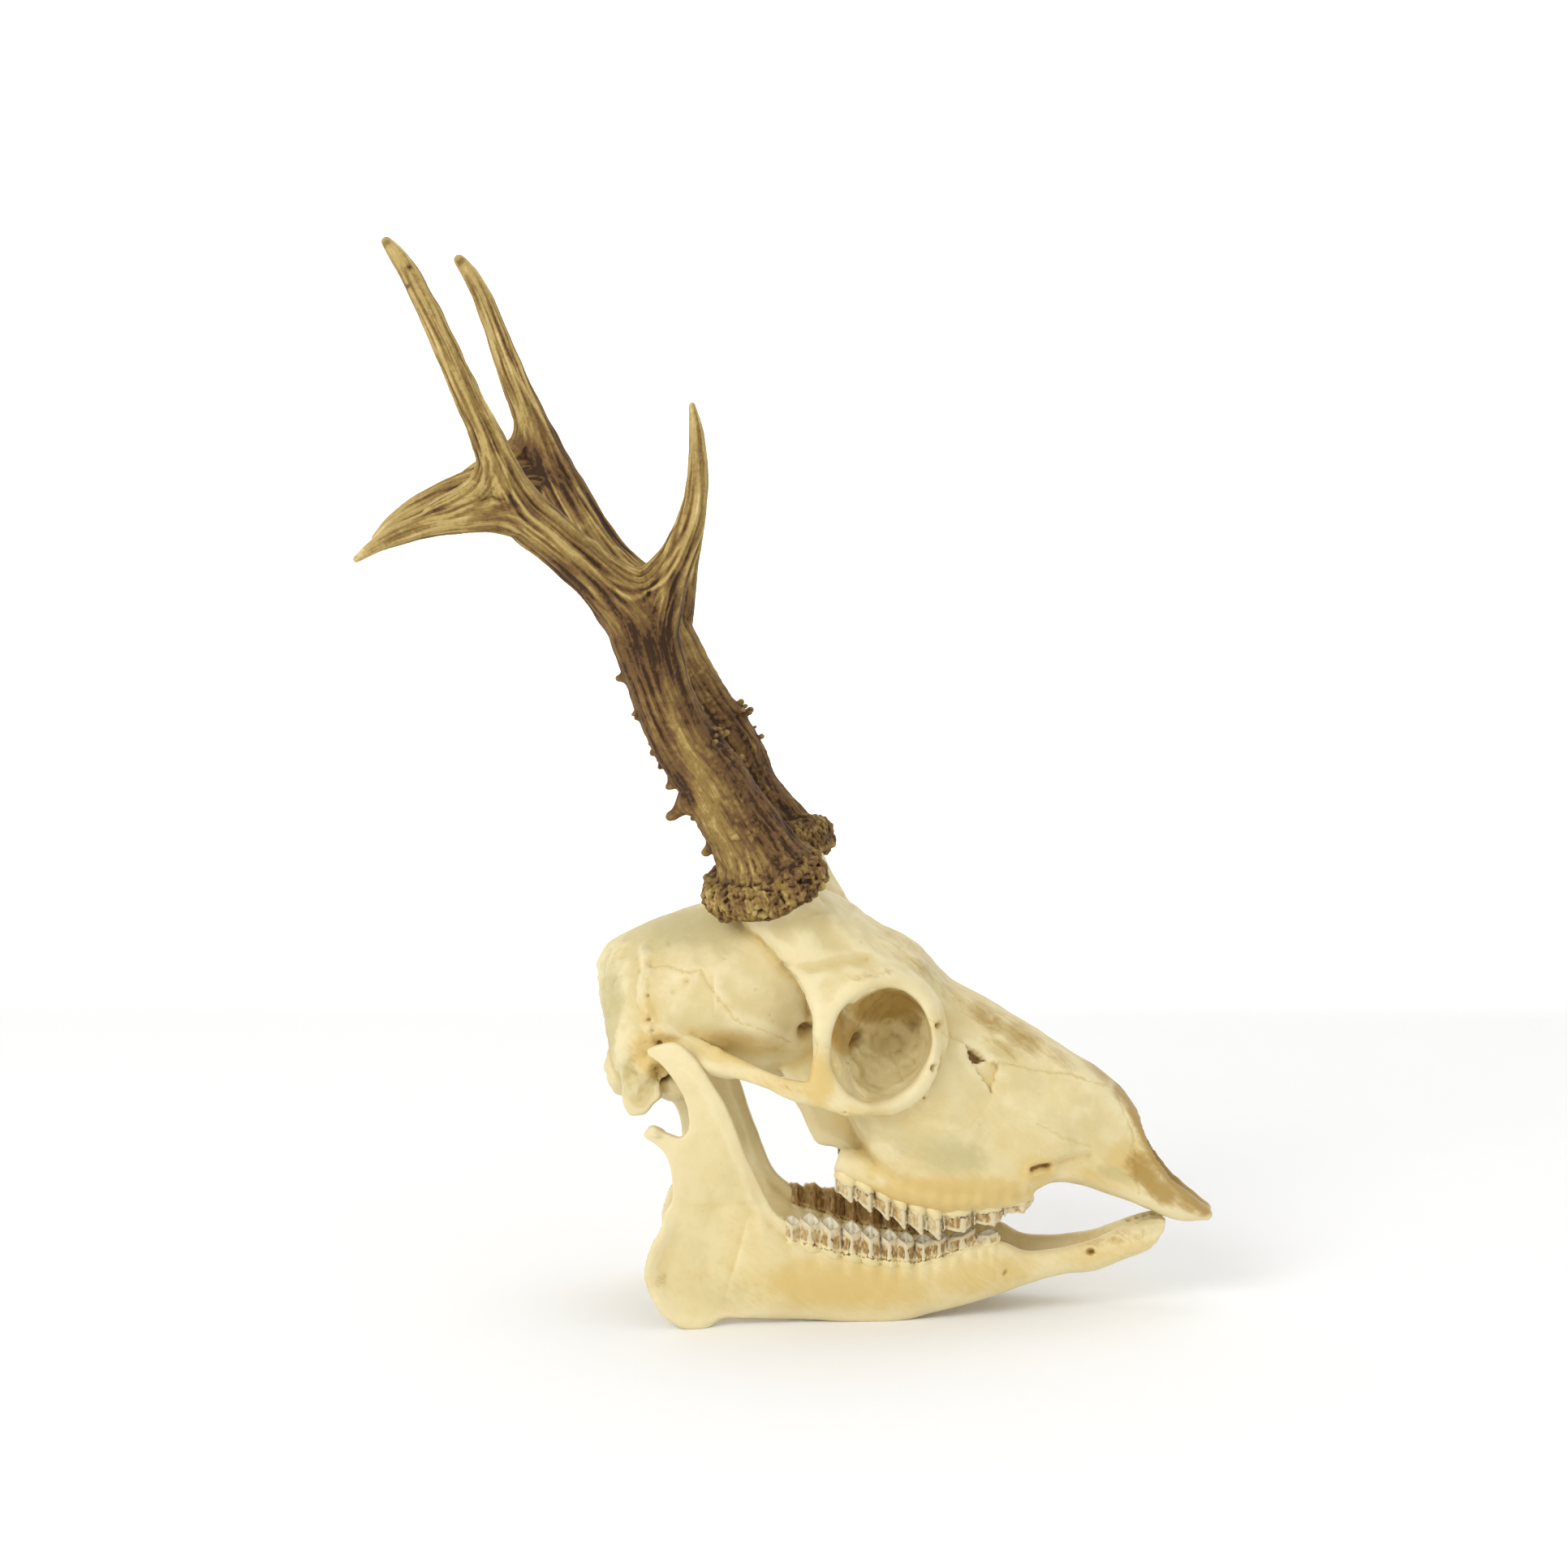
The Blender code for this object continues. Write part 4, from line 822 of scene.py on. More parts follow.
def sculpt_jaw(p, n):
    """p is still flat on the bench: y above 0 is the cheek side."""
    flat, wavy = p[:, [0, 2]], side_view(p, 0.8, 5, 41)
    cheek = fade(n[:, 1], 0.1, 0.5)
    tongue = fade(-n[:, 1], 0.1, 0.5)
    high = 0.9 * cheek * hill(line_distance(wavy, ANGLE_RIM), 2.6)
    from_edge = line_distance(flat, (*CHEWING_HOLLOW, CHEWING_HOLLOW[0]))
    high -= 0.55 * np.where(inside(flat, CHEWING_HOLLOW), fade(from_edge, 0, 7), 0) * (cheek + tongue)
    high += 0.5 * (cheek + tongue) * hill(line_distance(wavy, UPRIGHT_RIDGE), 1.6)
    high -= 2.2 * cheek * hill(np.hypot(flat[:, 0] - LIP_HOLE[0], (flat[:, 1] - LIP_HOLE[1]) * 1.4), 1.0)
    high -= 0.5 * cheek * hill(near(flat, *SIDE_PIT), 0.7)
    high -= 2.4 * tongue * hill(near(flat, *NERVE_HOLE), 1.8)
    phase = np.interp(p[:, 0], LOWER_GAPS, np.arange(7))
    gum = np.interp(p[:, 0], *JAW_GUM)
    roots = fade(p[:, 2], gum - 9, gum - 1.5) * fade(p[:, 0], 0, 4) * (1 - fade(p[:, 0], 65, 68))
    high += 0.28 * roots * (cheek + tongue) * np.cos(2 * math.tau * phase + math.pi)
    for x in FRONT_SOCKETS:
        high -= 2.2 * fade(n[:, 2], 0.1, 0.5) * hill(np.hypot(p[:, 0] - x, (p[:, 1] + 0.6) * 0.8), 0.95)
    high += 0.3 * fade(p[:, 0], 103, 110) * noise(p, (7, 1.6, 1.6), 43)
    high += 0.2 * noise(p, 12, 44) + 0.07 * noise(p, 4, 45) + 0.025 * noise(p, 1.4, 46)
    return p + n * high[:, None]


def build_jaw(word, side):
    jaw = fuse(as_object(f"jaw_{word}", jaw_solids()), JAW_VOXEL, 5)
    p, n, edges = read(jaw)
    p = sculpt_jaw(p, n)
    flat = p.copy()
    p[:, 1] = side * (p[:, 1] + jaw_y(p[:, 0], p[:, 2]))
    if side == LEFT:  # the left blade is set a little further back
        p[:, 0] -= 1.5 * band(p[:, 2], 34, 78, 6)
    p[:, 2] = np.maximum(p[:, 2], 0)
    p[:, 1] = side * np.maximum(side * p[:, 1], GAP / 2)
    write(jaw, p)
    if side == RIGHT:
        jaw.data.flip_normals()
    _, n, edges = read(jaw)
    brown = spots(p, JAW_BROWN) * (flat[:, 1] > 0)
    paint(jaw, "stain_and_shade", np.stack([brown, spots(p, JAW_OCHRE), spots(p, JAW_OLIVE)], 1))
    paint(jaw, "seam", np.full(len(p), 5.0))
    paint(jaw, "hollow", hollowness(p, n, edges, FINE))
    paint(jaw, "dip", hollowness(p, n, edges, BROAD))
    thinned(jaw, JAW_TRIANGLES / COARSE**2)
    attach(jaw, "root")
    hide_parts(f"mandible_{word}")
    return jaw


jaws = [build_jaw("right", RIGHT), build_jaw("left", LEFT)]

# %% [markdown]
# ## Cheek teeth
#
# A deer's cheek tooth is a row of cups. Each cup's rim is a sharp crescent of enamel, high on one side and worn
# low on the other, and the wall below it is fluted. One cup is a loft: up the outside from the root over the
# collar to the rim, then down inside to the worn floor. A whole row is made straight on the bench, its marks
# are painted there, and then it is bent along the jaw.

# %% Tooth sizes
# For each cup: x of its middle, length, half width to the cheek, half width to the tongue, height of the cheek
# side, of the ends and of the tongue side, how brown it is.
UPPER_CUPS = (
    (19.8, 6.4, 4.0, 5.0, 7.4, 5.6, 5.0, 0.5), (25.7, 6.2, 4.6, 5.4, 8.2, 6.2, 5.2, 0.55),
    (31.2, 5.6, 4.8, 5.5, 8.2, 6.4, 5.2, 0.8), (36.2, 5.6, 4.9, 5.5, 8.6, 6.6, 5.2, 0.75),
    (41.4, 5.8, 4.6, 5.4, 8.8, 6.8, 5.4, 0.45), (46.8, 5.6, 4.6, 5.2, 9.2, 7.2, 5.4, 0.3),
    (53.8, 9.0, 4.2, 4.8, 7.4, 6.2, 5.0, 0.9), (63.0, 9.0, 3.8, 4.2, 6.2, 5.2, 4.6, 0.85),
    (72.2, 8.8, 3.0, 3.2, 4.2, 3.0, 3.4, 1.0),
)
LOWER_CUPS = (
    (3.4, 5.4, 2.9, 2.7, 6.0, 7.0, 8.2, 0.55), (8.9, 6.6, 3.7, 3.5, 7.0, 8.2, 9.9, 0.7),
    (15.0, 6.6, 3.9, 3.7, 7.5, 8.8, 10.7, 0.75), (21.5, 6.4, 4.0, 3.8, 7.4, 8.8, 10.7, 0.9),
    (27.3, 6.2, 4.0, 3.8, 7.1, 8.5, 10.2, 0.85), (33.0, 5.7, 3.8, 3.7, 6.9, 8.1, 9.8, 0.95),
    (38.2, 5.5, 3.8, 3.6, 6.8, 7.8, 9.4, 1.0), (43.4, 5.2, 3.3, 3.3, 6.4, 7.2, 8.6, 1.0),
    (48.2, 5.3, 3.2, 3.2, 6.0, 6.7, 7.7, 0.95), (55.2, 8.6, 2.8, 2.8, 5.0, 5.5, 6.3, 0.8),
    (63.2, 6.6, 2.3, 2.3, 3.0, 3.4, 4.2, 0.5),
)
UPPER_GUM = ((14, 46.4), (19.2, 45.2), (27.8, 42.2), (38.9, 37.2), (48.8, 34.6), (58.6, 35.0), (68.4, 35.2), (77, 37.2))
LOWER_GUM = (
    (-2, 27), (4, 25.2), (9.2, 24.2), (16.7, 21.6), (29.1, 19.1), (41.5, 17.6), (48.9, 19.4), (58.8, 22.6), (68, 23.8),
)
UPPER_ROW_Y = ((16, 22.3), (23, 22.5), (43, 22.5), (53, 20.5), (72, 15.5), (78, 14))
TOOTH_VOXEL, TOOTH_TRIANGLES = 0.24, 100000
CUSP_LEAN = 0.4  # how far the cusps of the upper teeth lean to the nose, as a share of half a cup
print("cups in an upper row", len(UPPER_CUPS), "and in a lower row", len(LOWER_CUPS))

# %% Tooth rows


def cup(bm, middle, length, cheek, tongue, cheek_top, end_top, tongue_top, lean, points=56):
    """One cup, standing on the bench at y = 0 with its gum line at z = 0. y above 0 is the cheek side.

    lean moves the cusp of the cheek side towards the nose, as a share of half the length.
    """
    turn = np.linspace(0, math.tau, points, endpoint=False)
    c, s = np.cos(turn), np.sin(turn)
    half = np.where(s > 0, cheek, tongue)
    x = np.sign(c) * np.abs(c) ** 1.25
    cusp = np.where(s > 0, lean, 0)
    point = 1 - np.abs(x - cusp) / np.where(x > cusp, 1 - cusp, 1 + cusp)  # 0 at the ends, 1 at the two cusps
    rim = end_top + np.where(s > 0, cheek_top - end_top, tongue_top - end_top) * point
    low = min(cheek_top, end_top, tongue_top)
    soft, edged = (c * length * 0.56, half * s), (x * length * 0.55, half * np.sign(s) * np.abs(s) ** 1.05)
    rings = []
    for share, rise, edge in (
        (0.6, -2.6, 0), (0.94, -0.8, 0), (1.04, 0.3, 0), (1.06, 1.2, 0.1), (1.0, 2.2, 0.5), (0.99, 0.6 * rim, 0.8),
        (0.95, 0.85 * rim, 1), (0.86, rim, 1), (0.72, rim * 0.98, 1), (0.46, 0.5 * rim + 0.25 * low, 1),
        (0.15, 0.3 * rim + 0.35 * low, 1),
    ):
        flat = [a + (b - a) * edge for a, b in zip(soft, edged)]
        rings.append(np.stack([middle + flat[0] * share, flat[1] * share, np.broadcast_to(rise, points)], 1))
    loft(bm, rings)


def row_solids(cups, upper):
    bm = bmesh.new()
    lean = CUSP_LEAN if upper else 0.0
    for middle, length, cheek, tongue, cheek_top, end_top, tongue_top, _ in cups:
        cup(bm, middle, length, cheek, tongue, cheek_top, end_top, tongue_top, lean)
        if upper:  # the cusp hangs down as a drop
            ball(bm, (middle + lean * length / 2, cheek * 0.72, cheek_top - 0.7), (0.8, 0.75, 1.0), detail=2)
            ball(bm, (middle - length * 0.46, cheek * 0.62, end_top * 0.8), (0.6, 0.8, 1.7), detail=2)
        else:
            ball(bm, (middle + length * 0.5, cheek * 0.5, 1.4), (0.6, 0.7, 1.5), detail=2)
    return bm


def flutes(p, n, table, gaps, upper, far):
    """Relief in millimetres, how cream, brown and dark each point is, and where the worn floor of a cup is.

    The brown and the dark hold stain and painted shade.
    """
    mine = np.abs((p[:, :1] - table[:, 0]) / table[:, 1]).argmin(1)  # the cup that each point is on
    middle, length, cheek, tongue, cheek_top, end_top, tongue_top, brown = table[mine].T
    along = (p[:, 0] - middle) / (length / 2)
    outer = p[:, 1] > 0
    rim = np.interp(np.abs(along), (0, 1), (1, 0)) * (np.where(outer, cheek_top, tongue_top) - end_top) + end_top
    height = p[:, 2] / np.maximum(rim, 0.1)
    wall = fade(np.abs(p[:, 1]), 0.8, 1.8)
    gap = np.min([np.abs(p[:, 0] - g) for g in gaps], axis=0)
    shaky, torn = 0.16 * noise(p, 1.6, 63), noise(p, (0.7, 0.7, 1.6), 64)
    at, level = along + shaky, height + 0.5 * shaky
    if upper:
        rib = hill(along - CUSP_LEAN, 0.17) * fade(height, 0.12, 0.5)
        facet = band(at, -0.84, 0.16, 0.08) + 0.75 * band(at, 0.62, 0.92, 0.06)
        facet *= band(level, 0.36, 0.9, 0.06)
        line = hill(level - 0.37, 0.045) * band(at, -0.9, 0.92, 0.08)
    else:
        rib = hill(along, 0.2) * fade(height, 0.06, 0.3)
        slope = 0.16 + 0.2 * (1 - level)  # the pale rib between the two hollows is widest at its foot
        facet = (band(at, -0.9, -slope, 0.1) + band(at, slope, 0.9, 0.1)) * band(level, 0.13, 0.76, 0.08)
        line = hill(level - 0.15 - 0.05 * np.cos(math.pi * along), 0.035)
        line += band(level, 0.2, 0.76, 0.1) * hill(np.abs(at) - slope - 0.03, 0.07)
    relief = wall * (0.42 * rib * (1 - fade(height, 0.9, 1.0)) - 0.3 * facet - 0.16 * line)
    relief += wall * 0.3 * (1 - fade(height, 0.1, 0.36)) * (1 - hill(gap, 0.9))
    relief -= 0.35 * hill(gap, 0.25) * fade(p[:, 2], 0, 1)
    relief += 0.06 * noise(p, 1.3, 61) + 0.05 * noise(p, (0.5, 0.5, 2.5), 62)
    reach = np.hypot(along / 1.1, p[:, 1] / np.where(outer, cheek, tongue))
    basin = (1 - fade(reach, 0.6, 0.86)) * fade(n[:, 2], 0.05, 0.35)
    cream = (1 - fade(level, 0.22, 0.4)) * (1 - 0.25 * brown)
    brown_stain_and_shade = facet * brown * np.clip(0.85 + 0.7 * torn, 0, 1)
    # The tongue side is browner, and the far rows more so: part stain, part painted shade.
    tongue_side = ~outer * band(height, 0.1, 0.97, 0.07) * (0.95 if far else 0.5)
    brown_stain_and_shade = np.maximum(brown_stain_and_shade, tongue_side * np.clip(0.9 + 0.3 * torn, 0, 1))
    brown_stain_and_shade *= 1 - (0.55 if far else 0.95) * fade(n[:, 2], 0.05, 0.4)
    # Dark lines along the grooves: part stain, part painted shade.
    dark = np.clip(line * (0.25 + 0.75 * brown) * np.clip(0.7 + 0.9 * torn, 0, 1), 0, 1) * wall
    # Dark between the teeth: painted shade.
    dark = np.maximum(dark, 0.8 * hill(gap + 0.12 * torn, 0.2) * fade(p[:, 2], 0.6, 2.4))
    return relief, np.stack([cream, brown_stain_and_shade, dark], 1), basin


def build_row(name, side, cups, gaps, upper):
    row = fuse(as_object(name, row_solids(cups, upper)), TOOTH_VOXEL, 2)
    p, n, edges = read(row)
    table = np.array(cups)
    relief, coat, basin = flutes(p, n, table, gaps, upper, side == LEFT)
    p = p + n * relief[:, None]
    gum = np.interp(p[:, 0], *zip(*(UPPER_GUM if upper else LOWER_GUM)))
    out = np.interp(p[:, 0], *zip(*UPPER_ROW_Y)) if upper else jaw_y(p[:, 0], gum)
    p[:, 2] = gum + (p[:, 2] - 0.6) * (-1 if upper else 1)
    p[:, 1] = side * (out + p[:, 1])
    write(row, p)
    if (side == RIGHT) != upper:
        row.data.flip_normals()
    _, n, edges = read(row)
    paint(row, "coat", coat)
    paint(row, "basin", basin)
    paint(row, "hollow", hollowness(p, n, edges, 8))
    thinned(row, TOOTH_TRIANGLES / COARSE**2)
    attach(row, "root")
    return row


rows = [
    build_row("upper_teeth_right", RIGHT, UPPER_CUPS, UPPER_GAPS, True),
    build_row("upper_teeth_left", LEFT, UPPER_CUPS, UPPER_GAPS, True),
    build_row("lower_teeth_right", RIGHT, LOWER_CUPS, LOWER_GAPS, False),
    build_row("lower_teeth_left", LEFT, LOWER_CUPS, LOWER_GAPS, False),
]

# %% [markdown]
# ## Antlers
#
# An antler grows like a tree: a beam, forks and tines, with grain that runs along all of them. The beam and the
# top tine are one curve, and the front and rear tines branch off it. Around the foot lies the burr, a ring of
# hundreds of small bony knobs, and pearls are strewn over the lower beam. The grain needs a place in the
# straightened antler for every point, so each shaft carries a frame of directions along its curve.

# %% Antler sizes
# Stations of (x, z), distance from the mid plane, and radius.
RIGHT_ANTLER = {
    "main": (
        ((-2.2, 131.5), 22.5, 17.0), ((-5.0, 138.5), 23.2, 15.8), ((-8.4, 146.2), 24.0, 12.4),
        ((-16.2, 159.2), 25.2, 10.7), ((-21.5, 168), 26.0, 10.2), ((-27.6, 176), 27, 9.6),
        ((-32.8, 186), 28, 9.3), ((-36.8, 197), 29.5, 9.2), ((-40.2, 209), 31.5, 10.0),
        ((-44.0, 217.5), 33.5, 9.7), ((-54.4, 228.4), 37, 7.2), ((-65.3, 238.6), 41, 6.9),
        ((-74.0, 246.4), 44, 7.2), ((-79.0, 254.5), 46.6, 6.4), ((-82.2, 262.5), 48.4, 5.2),
        ((-85.1, 270.3), 49.6, 4.3), ((-88.3, 277.6), 50.8, 3.75), ((-92, 286), 52, 3.6),
        ((-95.4, 294), 52.6, 3.45), ((-99.7, 302.9), 52.6, 3.3), ((-103.6, 310.5), 51.8, 3.1),
        ((-107, 316.8), 50.8, 2.8), ((-110.3, 321.6), 49.8, 2.4), ((-113.6, 325.6), 48.6, 1.4),
    ),
    "front": (
        ((-38.8, 194.0), 29.6, 4.6), ((-38.2, 204.0), 31.2, 7.0), ((-36.8, 214.5), 33.0, 6.9),
        ((-33.6, 226.0), 34.5, 5.8), ((-29.2, 236.0), 35.4, 4.6), ((-25.5, 246.4), 36, 3.7),
        ((-24.2, 256.2), 36.4, 3.05), ((-24.1, 264.6), 36.2, 2.5), ((-24.7, 271.5), 35.6, 2.0),
        ((-25.8, 278.4), 34.8, 0.9),
    ),
    "rear": (
        ((-66.0, 240.5), 41.5, 4.4), ((-77.0, 246.5), 45.5, 6.4), ((-87.0, 247.0), 48, 5.6),
        ((-96.8, 245.3), 50, 4.4), ((-105, 243), 50.6, 3.5), ((-112, 240.2), 50.4, 2.75),
        ((-117.5, 237.6), 49.6, 2.1), ((-123.9, 233.2), 48.4, 0.9),
    ),
    "lower_web": (
        ((-27.8, 243.0), 35.6, 2.2), ((-32.9, 232.4), 35, 3.9), ((-40.0, 225.6), 35, 4.6),
        ((-48.0, 228.0), 35.8, 4.6), ((-57, 235.5), 38.4, 4.0),
    ),
    "upper_web": (
        ((-84.6, 268.0), 49.2, 2.6), ((-84.2, 260.0), 48.4, 3.7), ((-86.4, 253.8), 48.2, 4.5),
        ((-92.8, 249.8), 49.4, 4.0), ((-101, 246.4), 50.4, 3.0),
    ),
}
LEFT_ANTLER = {
    "main": (
        ((0.4, 134.2), 22.5, 17.0), ((-2.4, 140.2), 23.2, 15.6), ((-5.4, 146.4), 24.0, 12.4),
        ((-12.0, 157.4), 25.2, 10.0), ((-16.2, 169), 26.0, 9.3), ((-21.2, 178.0), 27, 8.8),
        ((-27.4, 186.8), 28, 8.7), ((-33.0, 195.6), 29.5, 9.0), ((-39.0, 206.6), 31.5, 9.3),
        ((-43.4, 215.6), 33.5, 9.4), ((-54.0, 226.0), 37, 7.4), ((-63.0, 237.6), 41, 7.0),
        ((-71.2, 250.2), 44, 7.1), ((-76.4, 259.8), 46.4, 6.6), ((-80.0, 268.5), 48.2, 5.6),
        ((-83.2, 275.5), 49.4, 4.9), ((-86.4, 283), 50.6, 4.3), ((-89.6, 290.6), 51.6, 3.9),
        ((-92.8, 299), 52.4, 3.55), ((-95.9, 307.4), 52.6, 3.2), ((-99.0, 315), 51.6, 2.9),
        ((-102.4, 321.2), 50.6, 2.6), ((-105.6, 325.6), 49.8, 1.7),
    ),
    "front": (
        ((-37.0, 192.0), 29.0, 4.4), ((-38.4, 202.0), 31.0, 6.6), ((-37.4, 212.0), 33.0, 7.4),
        ((-35.0, 224.0), 34.0, 6.0), ((-32.2, 235.0), 34.6, 4.4), ((-29.6, 245.6), 35, 3.4),
        ((-28.5, 255.2), 35.2, 2.8), ((-28.3, 263.0), 35.0, 2.3), ((-28.8, 269.0), 34.4, 1.7),
        ((-29.6, 274.0), 33.8, 0.9),
    ),
    "rear": (
        ((-64.0, 244.0), 41.5, 4.4), ((-74.5, 255.0), 45.5, 6.4), ((-87.0, 256.5), 48, 5.8),
        ((-97.6, 255.4), 50, 4.8), ((-109.7, 252.0), 50.6, 3.8), ((-116.4, 249.0), 50.6, 3.2),
        ((-123.2, 245.5), 50.2, 2.6), ((-128.6, 241.8), 49.4, 1.9), ((-134.0, 236.6), 48.4, 0.9),
    ),
    "lower_web": (
        ((-31.6, 238.0), 34.7, 2.8), ((-34.8, 229.0), 34.6, 3.8), ((-40.6, 223.2), 34.8, 4.6),
        ((-48, 225.6), 35.6, 4.6), ((-56.5, 233), 38, 4.0),
    ),
    "upper_web": (
        ((-86.0, 281), 50.4, 2.6), ((-84.4, 272.0), 50, 3.9), ((-86.0, 265.0), 49.6, 4.9),
        ((-93.5, 260.4), 50.2, 4.4), ((-103, 256.0), 50.6, 3.2),
    ),
}
REAR_PEGS = (  # along the beam, degrees round it, radius, how far it stands out
    (23.2, -90, 1.4, 2.0), (37.6, -90, 1.9, 6.2), (47.2, -90, 1.3, 2.3), (52.0, -90, 0.9, 1.4),
    (56.0, -90, 0.9, 1.3), (66.4, -90, 0.8, 1.0), (78.4, -90, 1.0, 2.1), (21, -112, 0.8, 1.6),
    (33, -98, 0.8, 1.8), (47, -84, 0.9, 1.8), (56, -100, 0.7, 1.5), (68, -80, 0.7, 1.4),
)
BURR_RING, BURR_KNOBS = 16.0, 980  # radius of the ring on which the knobs sit, and how many there are
SHAFT_STEP = 0.8  # between the samples of a shaft
ANTLER_VOXEL, ANTLER_TRIANGLES = 0.4, 195000
ANTLER_PARTS = ("beam", "upper_beam", "front_tine", "rear_tine", "top_tine")
PEARLS = (  # how many, spread and middle in degrees round the beam, from and to along it, largest radius
    (110, 56, 92, 15, 68, 0.7), (90, 24, -95, 16, 78, 0.9), (200, 60, 172, 14, 84, 0.8), (110, 46, 46, 13, 62, 0.55),
)
FRONT_SHELF = (  # along the beam, degrees round it, radius, how far it stands out
    (50.5, 78, 0.9, 2.6), (51.5, 66, 0.8, 2.0), (49.5, 92, 1.0, 3.2), (48.5, 104, 0.9, 3.0), (50.0, 118, 0.8, 2.6),
    (52.5, 84, 0.8, 2.2), (50.4, 55, 0.7, 1.6), (44.0, 70, 0.8, 1.8), (41.0, 96, 0.9, 1.8),
)
print("pearls on each beam", sum(row[0] for row in PEARLS), "and pegs", len(FRONT_SHELF) + len(REAR_PEGS))

# %% Shafts and their frames


def shaft(stations, side):
    """The curve of a shaft as evenly spaced samples: place, radius, way along, outward and forward directions."""
    rough = flow([(x, side * y, z, r) for (x, z), y, r in stations], 600)
    length = np.concatenate([[0], np.cumsum(np.linalg.norm(np.diff(rough[:, :3], axis=0), axis=1))])
    at = np.arange(0, length[-1], SHAFT_STEP)
    path = np.stack([np.interp(at, length, rough[:, k]) for k in range(4)], 1)
    ahead = unit(np.gradient(path[:, :3], axis=0))
    outward = unit(np.array([0.0, side, 0]) - ahead * side * ahead[:, 1:2])
    forward = np.cross(outward, ahead) * side
    return {"place": path[:, :3], "radius": path[:, 3], "ahead": ahead, "out": outward, "front": forward, "at": at}


def straightened(p, shafts):
    """For each shaft, every point's place in it when it is laid straight, and how far the point belongs to it."""
    main, layers, tipward = shafts["main"], {}, np.full(len(p), 1e9)
    for name, s in shafts.items():
        best = np.empty(len(p), int)
        for i in range(0, len(p), 50000):
            part = p[i : i + 50000]
            best[i : i + 50000] = ((s["place"] ** 2).sum(1) - 2 * part @ s["place"].T).argmin(1)
        offset = p - s["place"][best]
        u, v = ((offset * s[k][best]).sum(1) for k in ("out", "front"))
        r = s["radius"][best]
        reach = np.sqrt(u * u + v * v)
        along = s["at"][best] + (offset * s["ahead"][best]).sum(1)
        start = 0 if name == "main" else main["at"][((main["place"] - s["place"][0]) ** 2).sum(1).argmin()]
        away = s["at"][-1] - along
        scale = (0.45 * r + 5.0) / np.maximum(reach, 0.3)
        if "web" in name:
            weight = 1.4 * hill(np.maximum(reach - r, 0), 3.2) * fade(along, -1, 13) * fade(away, -1, 13)
        else:
            weight = np.exp(-7 * np.maximum(reach / r - 0.85, 0)) + 1e-7
            weight = weight * (1 if name == "main" else fade(along, 0, 22))
            tipward = np.where(reach < r * 1.6 + 1, np.minimum(tipward, away), tipward)
        layers[name] = (np.stack([u * scale, v * scale, along + start], 1), weight)
    return layers, np.clip(tipward, 0, 300)


def grain_noise(layers, size, seed):
    """Noise along the grain. Where shafts meet, their noises are blended, so that ridges fade into one another."""
    total = sum(weight for _, weight in layers.values())
    value, power = np.zeros(len(total)), np.zeros(len(total))
    for i, (place, weight) in enumerate(layers.values()):
        share = weight / total
        here = share > 0.02
        value[here] += share[here] * noise(place[here], size, seed + 3 * i)
        power += share**2
    return value / np.sqrt(power)


# %% Burr, pearls and pegs


def burr(bm, side, pick):
    """The knobbly ring: three rings of eggs as its core, and knobs all over them. A turn of 0 is outward."""
    foot, lean = foot_of(side)
    outward = unit(np.array([0.0, side, 0]) - lean * side * lean[1])
    forward = np.cross(outward, lean) * side
    lobes = [(k, pick.uniform(0, math.tau)) for k in (2, 3, 5, 8)]

    def rim(turn):
        wide = 0.9 * math.cos(turn - 1.2) + (4.4 * max(0, -math.sin(turn)) if side == RIGHT else 0)
        return BURR_RING + sum(0.42 * math.sin(k * turn + start) for k, start in lobes) + wide

    def away(turn):
        return outward * math.cos(turn) + forward * math.sin(turn)

    def sag(turn):
        """How far the ring hangs down, most on the outer side. The left one rises in front, the right one behind."""
        risen = 1.8 * max(0, math.sin(turn)) if side == LEFT else 2.8 * max(0, -math.sin(turn))
        return 2.4 * math.cos(turn) - 0.4 - risen

    for turn in np.linspace(0, math.tau, 44, endpoint=False):
        for rise, inward in ((1.2, 3.2), (3.4, 3.0), (5.8, 3.6)):
            ball(bm, foot + away(turn) * (rim(turn) - inward) + lean * (rise - sag(turn)), (3.3, 3.3, 3.2), detail=2)
    for _ in range(BURR_KNOBS):
        turn, tilt = pick.uniform(0, math.tau), math.radians(pick.triangular(-80, 100, 5))
        knob = pick.triangular(0.4, 1.35, 0.55)
        reach = rim(turn) - 3.1 + (3.7 - knob * 0.15) * math.cos(tilt) * pick.uniform(0.96, 1.08)
        rise = 3.6 - sag(turn) + 5.4 * math.sin(tilt)
        ball(bm, foot + away(turn) * reach + lean * rise, [knob * pick.uniform(0.75, 1.25) for _ in "xyz"], detail=2)


